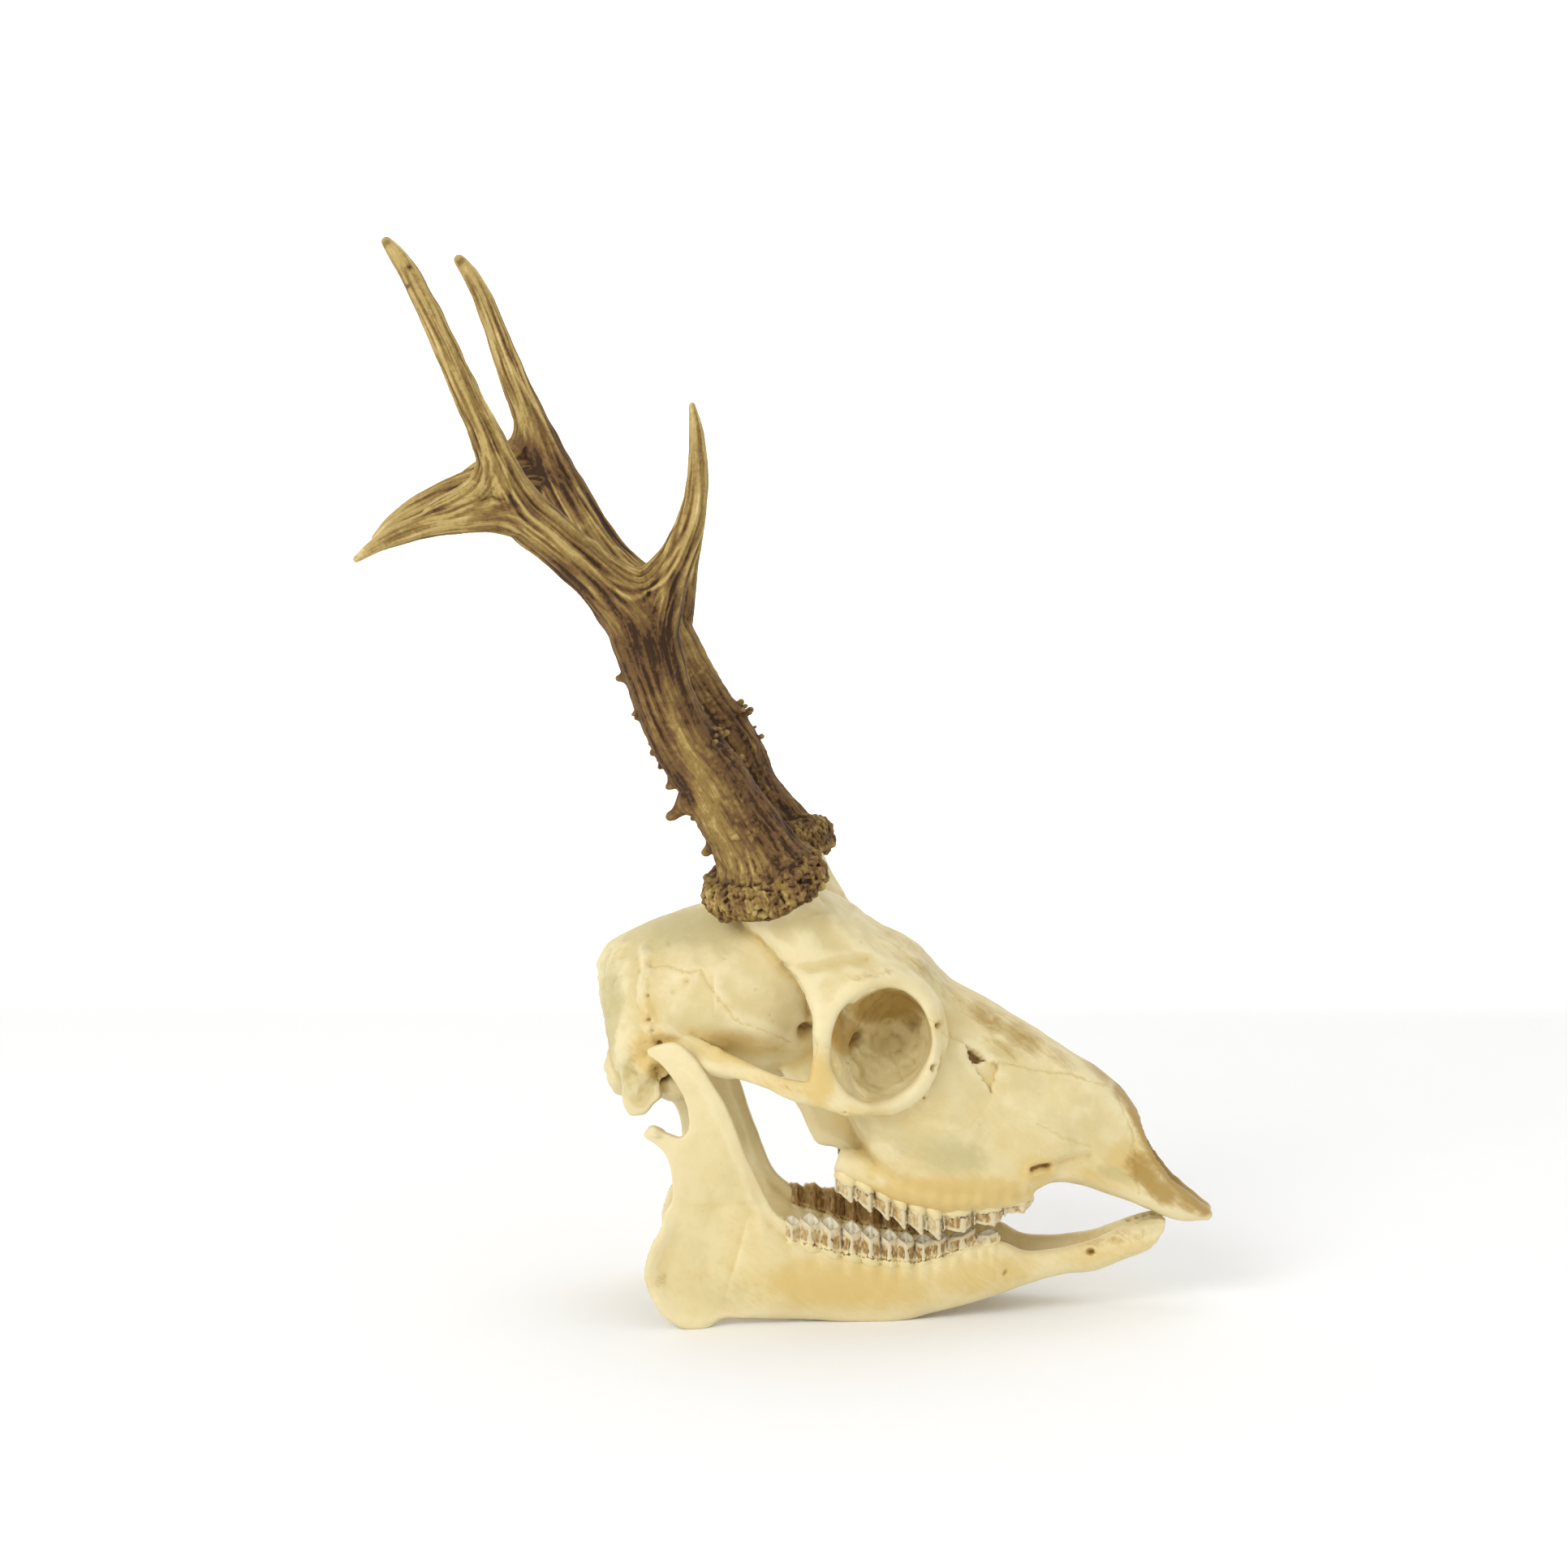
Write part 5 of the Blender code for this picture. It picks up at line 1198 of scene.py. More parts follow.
def pearls(bm, side, shafts, pick):
    """Small knobs strewn over the lower beam, thick on the inner side, and the larger pegs along its rear edge."""
    main = shafts["main"]

    def stand(at, degrees):
        i = min(int(at / SHAFT_STEP), len(main["at"]) - 1)
        a = math.radians(degrees)
        out = main["out"][i] * math.cos(a) + main["front"][i] * math.sin(a)
        return main["place"][i] + out * (main["radius"][i] * 0.95 - 0.3), out

    for count, spread, degrees, low, high, largest in PEARLS:
        for _ in range(count):
            size = pick.triangular(0.35, largest, 0.45)
            place, out = stand(pick.triangular(low, high, low), degrees + pick.gauss(0, spread / 2))
            middle = place + out * pick.uniform(0.1, 1.0) * size
            ball(bm, middle, [size * pick.uniform(0.8, 1.2) for _ in "xyz"], detail=2)
    for at, degrees, size, stalk in FRONT_SHELF:
        place, out = stand(at, degrees)
        steps = ((-0.3, 1.5), (0.4, 0.9), (1, 0.8))
        tube(bm, [(*(place + out * stalk * t), size * w, size * w) for t, w in steps], 10, 3)
        ball(bm, place + out * stalk, (size, size * 1.1, size * 0.9), detail=2)
    for at, degrees, size, stalk in REAR_PEGS:
        place, out = stand(at, degrees + pick.gauss(0, 4 if side == RIGHT else 14))
        stalk *= 1 if side == RIGHT else pick.uniform(0.5, 0.9)
        hook = np.array([pick.uniform(-0.3, 0.3), 0, pick.uniform(-0.7, 0.2)]) * size
        steps = ((-0.3, 3.2), (0.15, 2.3), (0.55, 1.3), (1, 0.9))
        tube(bm, [(*(place + out * stalk * t + hook * t * t), size * w, size * w) for t, w in steps], 12, 3)
        ball(bm, place + out * stalk + hook, (size * 1.05, size * 1.15, size * 0.9), detail=2)


def antler_solids(side, shafts, pick):
    bm = bmesh.new()
    for s in shafts.values():
        some = [*range(0, len(s["at"]) - 2, 3), len(s["at"]) - 1]
        tube(bm, np.column_stack([s["place"][some], s["radius"][some], s["radius"][some] * 0.93]), 32, 1)
        ball(bm, s["place"][-1], (s["radius"][-1],) * 3, detail=2)
    burr(bm, side, pick)
    pearls(bm, side, shafts, pick)
    return bm


# %% Antler grain
CALM_PLACES = {RIGHT: ((-41, 208, 12), (-86, 250, 5)), LEFT: ((-40, 206, 10), (-84, 264, 9))}  # x, z, radius
DARK_PLACES = {  # x, z, radius, how much darker
    RIGHT: (
        (-41, 208, 11, 0.14), (-52, 222, 7, 0.08), (-113.2, 324.8, 1.4, 0.6), (-106.2, 317.6, 0.9, 0.4),
        (-106.2, 312.4, 1.0, 0.35), (-84, 248, 8, 0.08),
    ),
    LEFT: (
        (-83, 263, 7, 0.34), (-77, 256, 8, 0.26), (-105.0, 324.8, 1.5, 0.6), (-24, 196, 8, -0.2),
        (-33, 206, 6, -0.22), (-14, 176, 6, -0.12),
    ),
}
CHIPS = {RIGHT: ((-105.9, 317.9), (-106.4, 312.2)), LEFT: ()}  # off the edge of the top tine
RUBBED = ((14, 30, 45, 60, 74), (-34, -34, -8, 12, 14))  # along the beam, and degrees round it, of the golden streak


def grooved(layers, along, tipward, calm):
    """How high the grain stands over each point, in millimetres, and its finer streaks from -1 to 1."""
    broad = 1 - 2 * np.abs(grain_noise(layers, (4.6, 4.6, 70), 70))
    coarse = 1 - 2 * np.abs(grain_noise(layers, (2.3, 2.3, 34), 90))
    fine = grain_noise(layers, (1.25, 1.25, 16), 110)
    upper = fade(along, 66, 92)
    high = (0.1 + 0.34 * upper) * broad + (0.14 + 0.14 * upper) * coarse + 0.12 * fine
    streak = 0.6 * grain_noise(layers, (1.5, 1.5, 20), 130) + 0.5 * fine + 0.35 * (coarse - 0.4)
    high *= (0.15 + 0.85 * fade(tipward, 3, 40)) * (0.5 + 0.5 * fade(along, 12, 26))
    return high * (1 - 0.75 * calm), streak * (1 - 0.6 * calm)


def burr_share(along):
    return 1 - fade(along, 9, 15)


def knobbly(p, grain):
    """Lumps in millimetres: broad ones all over, small ones on the lower beam and the burr, flutes above the burr."""
    along, turn = grain[:, 2], np.arctan2(grain[:, 1], grain[:, 0])
    low_beam = 1 - fade(along, 60, 95)
    lumps = 0.35 * noise(p, 7, 74) + low_beam * (0.28 * noise(p, 3.6, 75) + 0.1 * noise(p, 1.5, 76))
    lumps += burr_share(along) * (0.25 - 0.5 * np.abs(noise(p, 1.7, 78)) + 0.16 * noise(p, 0.9, 79))
    round_foot = np.stack([4.6 * np.cos(turn), 4.6 * np.sin(turn), along * 0.08], 1)
    return lumps + hill(along - 15, 5.5) * (0.2 - 1.1 * np.abs(noise(round_foot, 1, 73)))


def seated(p, side):
    """The points with all that hangs below the foot pressed up into a flat seat."""
    foot, lean = foot_of(side)
    from_foot = p - foot
    below = from_foot @ lean
    radial = np.linalg.norm(from_foot - below[:, None] * lean, axis=1)
    return p - (np.minimum(below, 0) * (radial < PEDICLE_RADIUS + 1.2))[:, None] * lean


def paleness(p, grain, tipward, web, side):
    """How far the stain is rubbed off: a streak up the lower beam, the upper beam, the tips and the burr's knobs."""
    along, angle = grain[:, 2], np.degrees(np.arctan2(grain[:, 1], grain[:, 0]))
    drift = noise(p, 9, 77)
    wide = np.interp(along, (10, 26, 50, 80), (52, 34, 27, 22))
    patch = hill(angle - np.interp(along, *RUBBED) + 16 * drift, wide) * fade(along, 6, 14)
    patch = patch * (1 - fade(along + 8 * drift, 60, 80))
    pale = -0.04 + 0.12 * fade(along, 84, 104) + 0.14 * fade(along, 104, 150) + 0.44 * patch
    pale = np.maximum(pale, (0.12 + 0.32 * noise(p, 4, 72)) * burr_share(along))
    pale += 0.2 * (1 - fade(tipward, 18, 60)) + 0.3 * (1 - fade(tipward, 2, 12))
    pale += 0.1 * np.clip(web, 0, 1)
    for x, z, size, amount in DARK_PLACES[side]:
        pale -= amount * hill(near(side_view(p), x, z), size)
    return pale


def build_antler(word, side, table, seed):
    pick = random.Random(seed)
    shafts = {name: shaft(stations, side) for name, stations in table.items()}
    antler = fuse(as_object(f"antler_{word}", antler_solids(side, shafts, pick)), ANTLER_VOXEL, 1)
    p, n, edges = read(antler)
    layers, tipward = straightened(p, shafts)
    solid = [layers[name] for name in ("main", "front", "rear")]
    grain = sum(place * weight[:, None] for place, weight in solid) / sum(weight for _, weight in solid)[:, None]
    calm = np.max([hill(near(side_view(p), x, z), size) for x, z, size in CALM_PLACES[side]], axis=0)
    high, streak = grooved(layers, grain[:, 2], tipward, calm)
    p = p + n * (high + knobbly(p, grain) * (0.3 + 0.7 * fade(tipward, 0, 25)))[:, None]
    for x, z in CHIPS[side]:
        p = p - n * (0.55 * hill(near(side_view(p), x, z), 0.8))[:, None]
    p = seated(p, side)
    write(antler, p)
    _, n, edges = read(antler)
    web = layers["lower_web"][1] + layers["upper_web"][1]
    paint(antler, "grain", grain)
    paint(antler, "pale", paleness(p, grain, tipward, web, side))
    paint(antler, "streak", streak)
    paint(antler, "height", high)
    paint(antler, "hollow", hollowness(p, n, edges, 10))
    paint(antler, "tipward", tipward)
    thinned(antler, ANTLER_TRIANGLES / COARSE**2)
    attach(antler, "root")
    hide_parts(*(f"antler_{word}_{part}" for part in ANTLER_PARTS))
    return antler


antlers = [build_antler("right", RIGHT, RIGHT_ANTLER, 3), build_antler("left", LEFT, LEFT_ANTLER, 8)]

# %% [markdown]
# ## Materials: small helpers and shared groups
#
# A node tree is easier to read when each line of code is one node. The helpers below add a node, link its
# inputs and give back its output. Parts that the bone and horn materials use are kept in groups: one makes the
# painted hollows darker, the other makes the fine grain of a dry surface as a height.

# %% Node helpers


class Tree:
    """A few words for building node trees."""

    def __init__(self, tree):
        self.tree, self.nodes, self.links = tree, tree.nodes, tree.links

    def node(self, kind, **settings):
        made = self.nodes.new(kind)
        for key, value in settings.items():
            setattr(made, key, value)
        return made

    def feed(self, socket, value):
        if isinstance(value, bpy.types.NodeSocket):
            self.links.new(value, socket)
        else:
            socket.default_value = value

    def math(self, operation, a, b=0.0, c=0.0, clamp=False):
        made = self.node("ShaderNodeMath", operation=operation, use_clamp=clamp)
        for socket, value in zip(made.inputs, (a, b, c)):
            self.feed(socket, value)
        return made.outputs[0]

    def ramp(self, value, low, high):
        """0 at low and 1 at high, smooth between."""
        made = self.node("ShaderNodeMapRange", interpolation_type="SMOOTHSTEP")
        for name, given in zip(("Value", "From Min", "From Max"), (value, low, high)):
            self.feed(made.inputs[name], given)
        return made.outputs["Result"]

    def mix(self, share, a, b):
        made = self.node("ShaderNodeMix", data_type="RGBA")
        self.feed(made.inputs[0], share)
        for socket, value in ((made.inputs[6], a), (made.inputs[7], b)):
            self.feed(socket, (*value, 1) if isinstance(value, tuple) else value)
        return made.outputs[2]

    def stored(self, name, vector=False):
        made = self.node("ShaderNodeAttribute", attribute_name=name)
        return made.outputs["Vector" if vector else "Fac"]

    def split(self, vector):
        made = self.node("ShaderNodeSeparateXYZ")
        self.feed(made.inputs[0], vector)
        return made.outputs

    def stretch(self, vector, scale):
        made = self.node("ShaderNodeMapping")
        self.feed(made.inputs["Vector"], vector)
        made.inputs["Scale"].default_value = scale
        return made.outputs[0]

    def turned(self, vector, degrees):
        """The vector turned about Y, so that streaks can run down the slope of the face."""
        made = self.node("ShaderNodeVectorRotate", rotation_type="Y_AXIS")
        self.feed(made.inputs["Vector"], vector)
        made.inputs["Angle"].default_value = math.radians(degrees)
        return made.outputs[0]

    def waves(self, vector, scale, detail=3.0, rough=0.55, twist=0.0):
        made = self.node("ShaderNodeTexNoise")
        self.feed(made.inputs["Vector"], vector)
        for name, value in (("Scale", scale), ("Detail", detail), ("Roughness", rough), ("Distortion", twist)):
            made.inputs[name].default_value = value
        return made.outputs["Fac"]

    def group(self, shared, **values):
        made = self.node("ShaderNodeGroup", node_tree=shared)
        for name, value in values.items():
            self.feed(made.inputs[name], value)
        return made.outputs

    def bump(self, height, distance, strength=1.0):
        made = self.node("ShaderNodeBump")
        made.inputs["Strength"].default_value = strength
        made.inputs["Distance"].default_value = distance
        self.feed(made.inputs["Height"], height)
        return made.outputs[0]


def new_group(name, inputs, outputs):
    shared = bpy.data.node_groups.new(name, "ShaderNodeTree")
    for label, kind, default in inputs:
        socket = shared.interface.new_socket(label, in_out="INPUT", socket_type=f"NodeSocket{kind}")
        if default is not None:
            socket.default_value = default
    for label, kind in outputs:
        shared.interface.new_socket(label, in_out="OUTPUT", socket_type=f"NodeSocket{kind}")
    tree = Tree(shared)
    return tree, tree.node("NodeGroupInput").outputs, tree.node("NodeGroupOutput").inputs


def new_material(name, roughness):
    made = bpy.data.materials.new(name)
    made.use_nodes = True
    shader = made.node_tree.nodes["Principled BSDF"]
    shader.inputs["Roughness"].default_value = roughness
    return made, Tree(made.node_tree), shader.inputs


# %% Shared groups


def hollow_darkening_group():
    """How much darker a point is made: 1 deep in a hollow, 0 on open ground, with a broken edge."""
    inputs = [("Hollow", "Float", 0.0), ("Place", "Vector", None), ("From", "Float", 0.05), ("To", "Float", 0.3)]
    t, given, out = new_group("darker in hollows", inputs, [("Darkening", "Float")])
    broken = t.math("MULTIPLY_ADD", t.math("SUBTRACT", t.waves(given["Place"], 900.0, 3), 0.5), 0.12, given["Hollow"])
    t.feed(out["Darkening"], t.ramp(broken, given["From"], given["To"]))
    return t.tree


def dry_surface_group():
    """The fine grain of dry bone: short scratches, pores and a faint orange peel, as a height from 0 to 1."""
    inputs, outputs = [("Place", "Vector", None), ("Pores", "Float", 0.5)], [("Height", "Float"), ("Mottle", "Float")]
    t, given, out = new_group("dry surface", inputs, outputs)
    peel = t.waves(given["Place"], 700.0, 4, 0.6)
    fibres = t.waves(t.stretch(given["Place"], (300, 1500, 1500)), 1.0, 2)
    pores = t.node("ShaderNodeTexVoronoi", feature="F1")
    t.feed(pores.inputs["Vector"], given["Place"])
    pores.inputs["Scale"].default_value = 1100
    dots = t.math("MULTIPLY", t.math("SUBTRACT", 1.0, t.ramp(pores.outputs["Distance"], 0.12, 0.3)), given["Pores"])
    t.feed(out["Height"], t.math("SUBTRACT", t.math("MULTIPLY_ADD", peel, 0.6, t.math("MULTIPLY", fibres, 0.3)), dots))
    t.feed(out["Mottle"], t.waves(given["Place"], 90.0, 5, 0.6, 0.4))
    return t.tree


HOLLOW_DARKENING, DRY = hollow_darkening_group(), dry_surface_group()
print("shared groups", [shared.name for shared in bpy.data.node_groups])

# %% [markdown]
# ## Bone
#
# Bone starts as cream. Large soft clouds make it warmer and cooler. Broad bulges are painted paler, part wear and
# part painted highlight, and wide dips get painted shade. Then the painted stains are laid on with ragged edges,
# and among them is painted shadow high in each eye socket. The sutures are darkened, and holes and corners are
# made darker. It has a low, broad gloss, like old ivory.

# %% Bone material
CREAM, IVORY, OCHRE = (0.79, 0.69, 0.39), (0.66, 0.555, 0.285), (0.66, 0.47, 0.155)
CHALK, HONEY_BONE = (0.84, 0.75, 0.475), (0.62, 0.455, 0.17)
BROWN, OLIVE, DARK_HOLLOW = (0.37, 0.22, 0.04), (0.50, 0.43, 0.20), (0.24, 0.125, 0.04)


def bone_material(name, yellow, roughness, darker):
    made, t, shader = new_material(name, roughness)
    place = t.node("ShaderNodeTexCoord").outputs["Object"]
    surface = t.group(DRY, Place=place, Pores=0.35)
    stain_and_shade = t.split(t.stored("stain_and_shade", True))
    cloud = t.waves(place, 38.0, 4, 0.55, 0.6)
    torn = t.waves(place, 300.0, 5, 0.62)
    streaks = t.waves(t.stretch(t.turned(place, -38), (80, 210, 300)), 1.0, 6, 0.66, 1.4)
    shader["Specular IOR Level"].default_value = 0.35
    colour = t.mix(t.ramp(cloud, 0.44 - darker, 0.74 - darker), CREAM, IVORY)
    # Broad bulges are painted paler, part wear and part painted highlight, and wide dips are painted darker as shade.
    wear_and_highlight = t.math("MULTIPLY_ADD", t.math("SUBTRACT", torn, 0.5), 0.5, t.math("MULTIPLY", t.stored("dip"), -1.4))
    colour = t.mix(t.math("MULTIPLY", t.ramp(wear_and_highlight, 0.0, 0.5), 0.6), colour, CHALK)
    shaded = t.math("MULTIPLY_ADD", t.math("SUBTRACT", torn, 0.5), 0.5, t.math("MULTIPLY", t.stored("dip"), 1.2))
    colour = t.mix(t.math("MULTIPLY", t.ramp(shaded, 0.02, 0.5), 0.55), colour, HONEY_BONE)
    warm = t.math("MULTIPLY", t.ramp(surface["Mottle"], 0.42, 0.75), 0.2)
    colour = t.mix(t.math("ADD", warm, yellow, clamp=True), colour, OCHRE)
    ragged = t.math("SUBTRACT", t.math("MULTIPLY_ADD", torn, 0.35, t.math("MULTIPLY", streaks, 0.65)), 0.5)
    for channel, tint, low, high, most in (
        (1, OCHRE, 0.06, 0.8, 0.85), (2, OLIVE, 0.12, 0.85, 0.66), (0, BROWN, 0.16, 0.8, 0.85),
    ):
        tear = t.math("MULTIPLY_ADD", stain_and_shade[0], -1.1, 1.8) if channel == 0 else 1.0
        cover = t.ramp(t.math("MULTIPLY_ADD", ragged, tear, stain_and_shade[channel]), low, high)
        cover = t.math("MULTIPLY", t.math("MULTIPLY", cover, most), t.ramp(stain_and_shade[channel], 0.02, 0.2))
        colour = t.mix(cover, colour, tint)
    from_seam = t.math("MULTIPLY_ADD", t.math("SUBTRACT", torn, 0.5), 0.9, t.stored("seam"))
    seam = t.math("SUBTRACT", 1.0, t.ramp(from_seam, 0.05, 0.38))
    colour = t.mix(t.math("MULTIPLY", seam, 0.42), colour, HONEY_BONE)
    # Small hollows are made darker.
    darkening = t.group(HOLLOW_DARKENING, Hollow=t.stored("hollow"), Place=place, From=0.12, To=0.6)["Darkening"]
    colour = t.mix(t.math("MULTIPLY", darkening, 0.8), colour, DARK_HOLLOW)
    freckle = t.ramp(t.waves(place, 520.0, 2, 0.5), 0.69, 0.76)
    colour = t.mix(t.math("MULTIPLY", freckle, 0.25), colour, OCHRE)
    t.feed(shader["Base Color"], colour)
    t.feed(shader["Roughness"], t.math("MULTIPLY_ADD", surface["Mottle"], 0.22, roughness - 0.1))
    t.feed(shader["Normal"], t.bump(surface["Height"], 0.00012, 0.55))
    return made


skull_bone = bone_material("skull_bone", 0.08, 0.5, 0.2)
jaw_bone = bone_material("jaw_bone", 0.14, 0.46, 0.0)
cranium.data.materials.append(skull_bone)
for jaw in jaws:
    jaw.data.materials.append(jaw_bone)
print("bone painted")

# %% [markdown]
# ## Enamel
#
# Enamel is white and hard. Where it meets the gum it is covered by a cream band, its flutes hold brown stain,
# and its worn edges are pale. The tongue side and the far rows are browner, part stain and part painted shade.
# The worn floor of each cup is painted bright, partly as painted light, and the gaps between the teeth and deep
# hollows get painted shade. The row carries where each point is on its cup, so all of that follows the teeth.

# %% Enamel material
ENAMEL, COLLAR, TARTAR, CREVICE = (0.68, 0.58, 0.37), (0.78, 0.66, 0.35), (0.30, 0.165, 0.05), (0.055, 0.024, 0.008)
HONEY, BASIN, WORN = (0.53, 0.365, 0.14), (0.82, 0.76, 0.60), (0.34, 0.25, 0.15)


def enamel_material():
    made, t, shader = new_material("enamel", 0.3)
    place = t.node("ShaderNodeTexCoord").outputs["Object"]
    cream, brown, dark = t.split(t.stored("coat", True))
    torn = t.math("SUBTRACT", t.waves(place, 900.0, 4, 0.62), 0.5)
    blots = t.math("SUBTRACT", t.waves(place, 420.0, 4, 0.6, 0.6), 0.5)
    runs = t.math("SUBTRACT", t.waves(t.stretch(place, (1500, 1500, 300)), 1.0, 3), 0.5)
    ragged = t.math("MULTIPLY_ADD", torn, 0.5, t.math("MULTIPLY_ADD", runs, 0.6, blots))
    colour = t.mix(t.ramp(t.math("MULTIPLY_ADD", blots, 0.8, cream), 0.2, 0.8), ENAMEL, COLLAR)
    basin = t.stored("basin")
    ring = t.math("MULTIPLY", t.ramp(basin, 0.08, 0.35), t.math("SUBTRACT", 1.0, t.ramp(basin, 0.5, 0.9)))
    # The worn floor of each cup is painted bright: its own pale colour, and painted light that lifts the shade of the
    # pit.
    colour = t.mix(t.math("MULTIPLY", t.ramp(basin, 0.5, 0.95), 0.85), colour, BASIN)
    colour = t.mix(t.math("MULTIPLY", ring, 0.6), colour, WORN)
    stain_and_shade = t.math("MULTIPLY_ADD", ragged, 0.7, brown)
    colour = t.mix(t.math("MULTIPLY", t.ramp(stain_and_shade, 0.1, 0.45), 0.8), colour, HONEY)
    colour = t.mix(t.math("MULTIPLY", t.ramp(stain_and_shade, 0.4, 0.95), 0.92), colour, TARTAR)
    # Near black in deep hollows and between the teeth as painted shade, and along the drawn lines as stain and painted
    # shade.
    deep = t.ramp(t.math("MULTIPLY_ADD", torn, 0.08, t.stored("hollow")), 0.08, 0.26)
    drawn = t.ramp(t.math("MULTIPLY_ADD", ragged, 0.6, dark), 0.25, 0.8)
    shade = t.math("MAXIMUM", drawn, t.math("MULTIPLY", deep, 0.6))
    colour = t.mix(t.math("MULTIPLY", shade, 0.86), colour, CREVICE)
    t.feed(shader["Base Color"], colour)
    t.feed(shader["Roughness"], t.math("MULTIPLY_ADD", brown, 0.25, 0.32))
    shader["Specular IOR Level"].default_value = 0.3
    t.feed(shader["Normal"], t.bump(t.math("ADD", torn, runs), 0.0002, 0.6))
    return made


enamel = enamel_material()
for row in rows:
    row.data.materials.append(enamel)
print("enamel painted")

# %% [markdown]
# ## Horn of the antlers
#
# Antler is bone that was stained by bark and sap while it was rubbed clean. Ridges are rubbed pale, grooves keep
# the dark, and tips are polished. The streaks are noise stretched along the grain that was painted on the
# points, so that they follow the beam round its bends and out into the tines.

# %% Antler material
PITCH, UMBER, TAN = (0.044, 0.021, 0.009), (0.15, 0.08, 0.03), (0.265, 0.17, 0.05)
STRAW, TIP = (0.48, 0.345, 0.125), (0.74, 0.57, 0.28)


def antler_material():
    made, t, shader = new_material("antler_horn", 0.5)
    place = t.node("ShaderNodeTexCoord").outputs["Object"]
    grain = t.stored("grain", True)
    wide = t.waves(t.stretch(grain, (0.26, 0.26, 0.022)), 1.0, 3, 0.6, 0.3)
    hairs = t.waves(t.stretch(grain, (2.2, 2.2, 0.14)), 1.0, 3, 0.6)
    dust = t.waves(place, 900.0, 4, 0.65)
    blotch = t.waves(place, 130.0, 5, 0.64, 0.6)
    upper = t.ramp(t.split(grain)[2], 55, 100)
    high_ground = t.math("MINIMUM", t.math("MULTIPLY", t.stored("hollow"), -0.8), 0.2)
    tone = t.math("ADD", t.math("MULTIPLY_ADD", t.stored("height"), 0.5, t.stored("pale")), high_ground)
    tone = t.math("MULTIPLY_ADD", t.stored("streak"), t.math("MULTIPLY_ADD", upper, 0.22, 0.1), tone)
    for waves, weight in ((wide, 0.6), (hairs, 0.6), (dust, 0.5), (blotch, 0.7)):
        tone = t.math("MULTIPLY_ADD", t.math("SUBTRACT", waves, 0.5), weight, tone)
    colour = t.mix(t.ramp(tone, -0.14, 0.1), PITCH, UMBER)
    colour = t.mix(t.ramp(tone, 0.12, 0.40), colour, TAN)
    colour = t.mix(t.ramp(tone, 0.40, 0.74), colour, STRAW)
    colour = t.mix(t.ramp(tone, 0.8, 1.15), colour, TIP)
    # Knobs and pearls are painted straw: rubbed pale, and in part a painted highlight.
    pearl = t.ramp(t.stored("hollow"), -0.34, -0.66)
    colour = t.mix(t.math("MULTIPLY", pearl, 0.4), colour, STRAW)
    darkening = t.group(HOLLOW_DARKENING, Hollow=t.stored("hollow"), Place=place, From=0.07, To=0.3)["Darkening"]
    colour = t.mix(t.math("MULTIPLY", darkening, 0.85), colour, PITCH)
    t.feed(shader["Base Color"], colour)
    shader["Specular IOR Level"].default_value = 0.16
    polish = t.math("MULTIPLY_ADD", t.ramp(t.stored("tipward"), 0, 40), 0.2, t.math("MULTIPLY_ADD", dust, 0.2, 0.4))
    t.feed(shader["Roughness"], polish)
    height = t.math("MULTIPLY_ADD", hairs, 0.8, t.math("MULTIPLY", dust, 0.8))
    t.feed(shader["Normal"], t.bump(height, 0.0005, 0.6))
    return made


antler_horn = antler_material()
for antler in antlers:
    antler.data.materials.append(antler_horn)
print("antlers painted")

# %% [markdown]
# ## Floor and light
#
# The model stands on a plain pale sweep, a floor that curves up into a wall all round. Four large soft lamps work
# as a studio does: one over the camera's left shoulder, one to fill the right side, one overhead, and one that
# whitens the floor and the wall behind the model. A lamp lights only what is in front of it. In the photo's view
# a faint line shows on the floor where the light of the last one begins. The fill lamp stands with its foot in
# the rising floor, so from behind the floor past it is greyer, with a clear edge.

# %% Floor
FLOOR_RADIUS, BEND, WALL_HEIGHT = 3.4, 2.0, 3.0


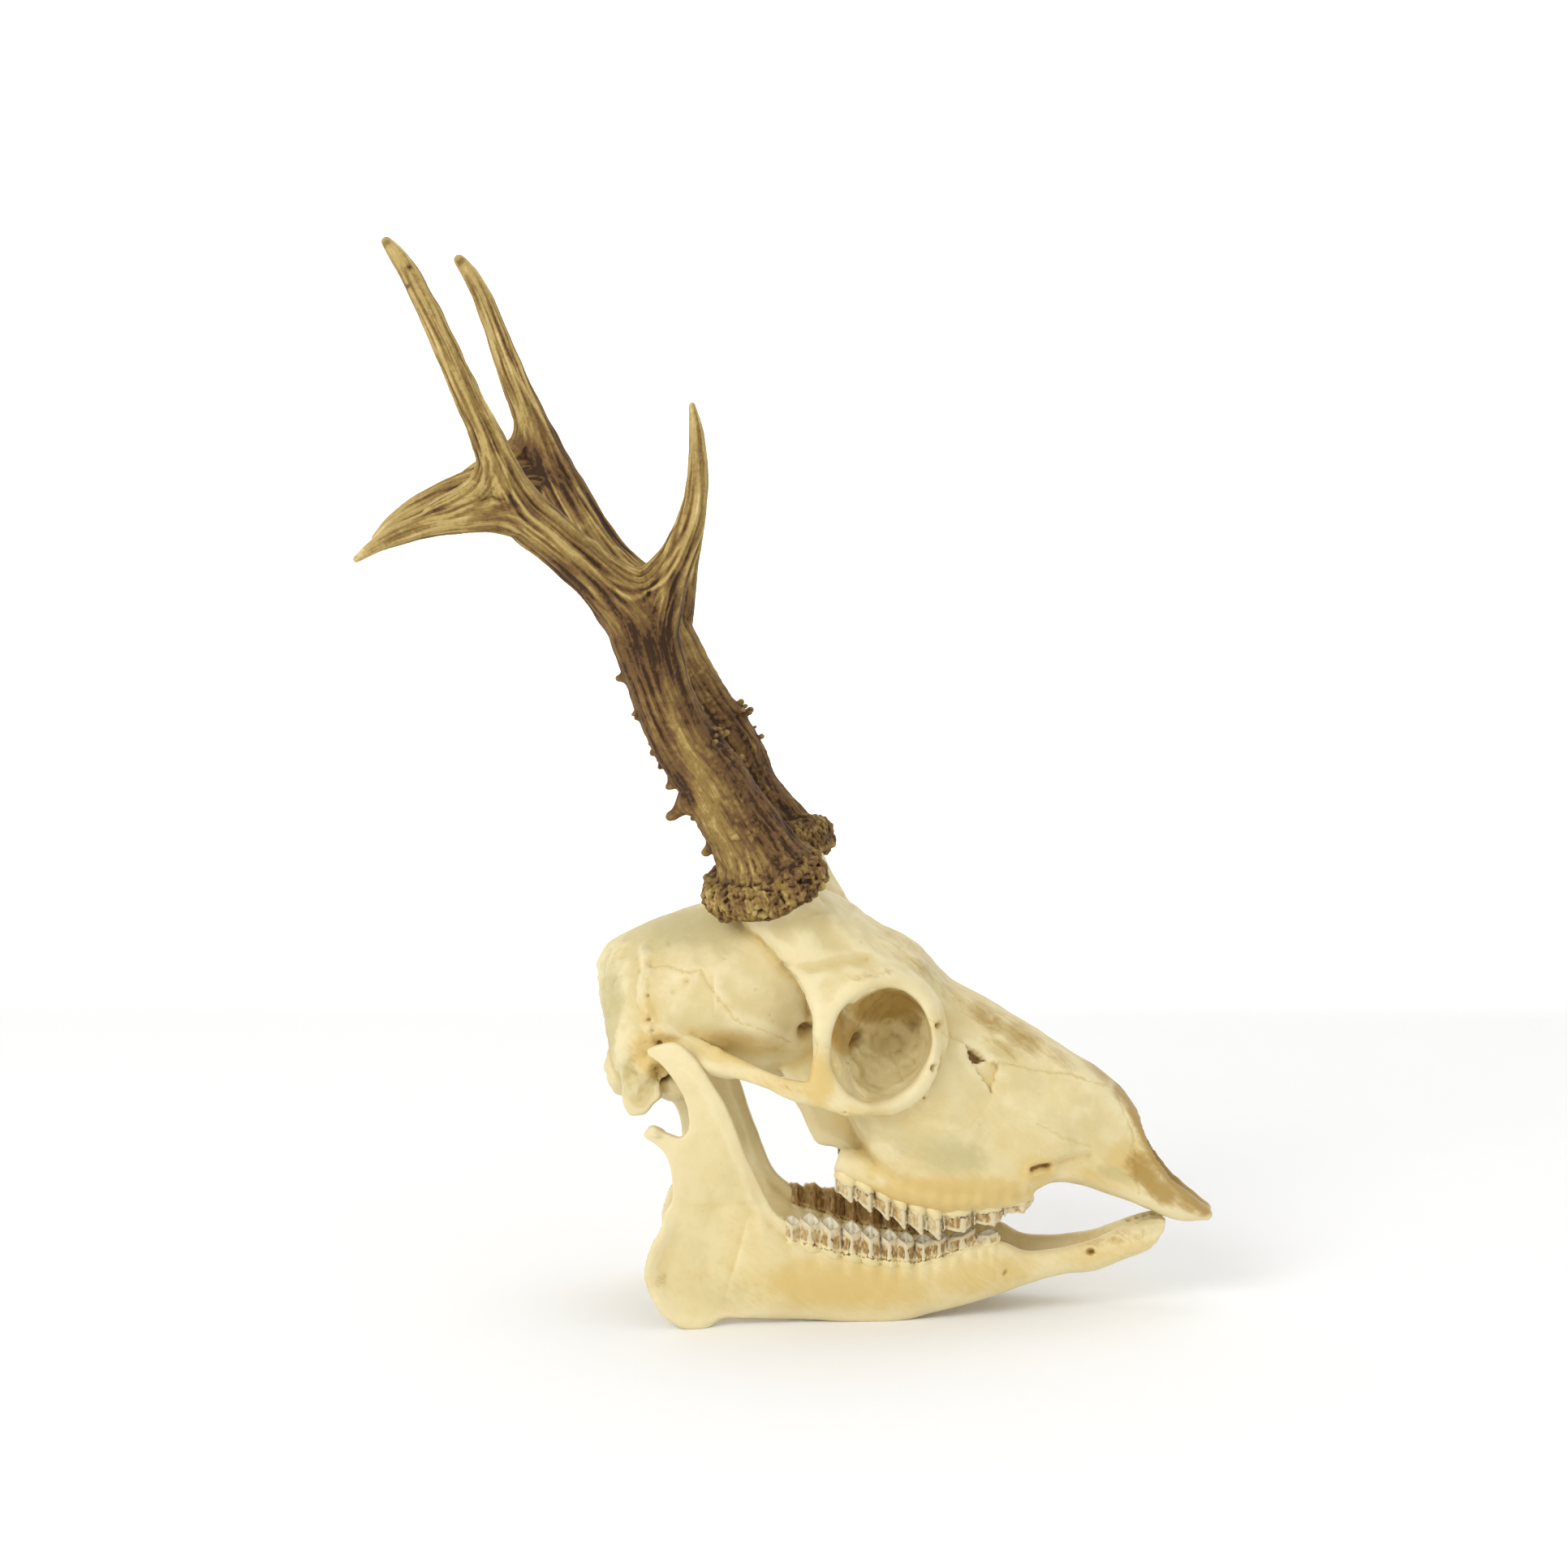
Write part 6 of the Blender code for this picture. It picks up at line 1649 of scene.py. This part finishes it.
def sweep():
    """A line from the middle out, round the bend and up, spun about the middle."""
    bm = bmesh.new()
    end = bm.verts.new((0, 0, 0))
    start = FLOOR_RADIUS - BEND
    bend = [(start + BEND * math.sin(a), BEND * (1 - math.cos(a))) for a in np.linspace(0.1, math.pi / 2, 16)]
    for x, z in [(start, 0), *bend, (FLOOR_RADIUS, WALL_HEIGHT)]:
        end = bmesh.ops.extrude_vert_indiv(bm, verts=[end])["verts"][0]
        end.co = (x, 0, z)
    line = [*bm.verts, *bm.edges]
    bmesh.ops.spin(bm, geom=line, cent=(0, 0, 0), axis=(0, 0, 1), angle=math.tau, steps=72, use_merge=True)
    bmesh.ops.remove_doubles(bm, verts=bm.verts, dist=1e-5)
    return bm


floor = as_object("floor", sweep())
floor.data.shade_smooth()
paper, _, paper_shader = new_material("paper", 0.9)
paper_shader["Base Color"].default_value = (0.96, 0.96, 0.955, 1)
paper_shader["Specular IOR Level"].default_value = 0.1
floor.data.materials.append(paper)
floor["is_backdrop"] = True
print("floor", 2 * FLOOR_RADIUS, "m across")

# %% Light
SKULL_MIDDLE, WALL = (0, 0, 0.14), (0, 3.3, 0.9)
SKY = 0.55  # strength of the even light from all round
LAMPS = (  # name, place, where it aims, size, watts
    ("key", (-1.0, -1.5, 1.2), SKULL_MIDDLE, 1.0, 20), ("fill", (1.5, -1.2, 0.8), SKULL_MIDDLE, 1.6, 3),
    ("top", (0.1, 0.3, 1.9), SKULL_MIDDLE, 1.6, 7), ("wall", (0, 1.0, 1.6), WALL, 2.2, 42),
)
for name, place, aim, size, watts in LAMPS:
    lamp = bpy.data.lights.new(name, "AREA")
    lamp.size, lamp.energy = size, watts
    lamp_object = bpy.data.objects.new(name, lamp)
    lamp_object.location = place
    lamp_object.rotation_euler = (Vector(aim) - Vector(place)).to_track_quat("-Z", "Y").to_euler()
    bpy.context.scene.collection.objects.link(lamp_object)
world = bpy.data.worlds.new("studio")
world.use_nodes = True
sky = world.node_tree.nodes["Background"].inputs
sky["Color"].default_value = (1, 1, 1, 1)
sky["Strength"].default_value = SKY
bpy.context.scene.world = world
bpy.context.scene.view_settings.view_transform = "Standard"
print("lamps", [name for name, *_ in LAMPS])

# %% [markdown]
# ## Sizes
#
# The corners of the box of the measured model and of the fine model are put side by side. The fine
# model has to stay in the box of the measured one.

# %% Sizes and finish
[[list(corner) for corner in box] for box in (CAD_BOX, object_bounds())]
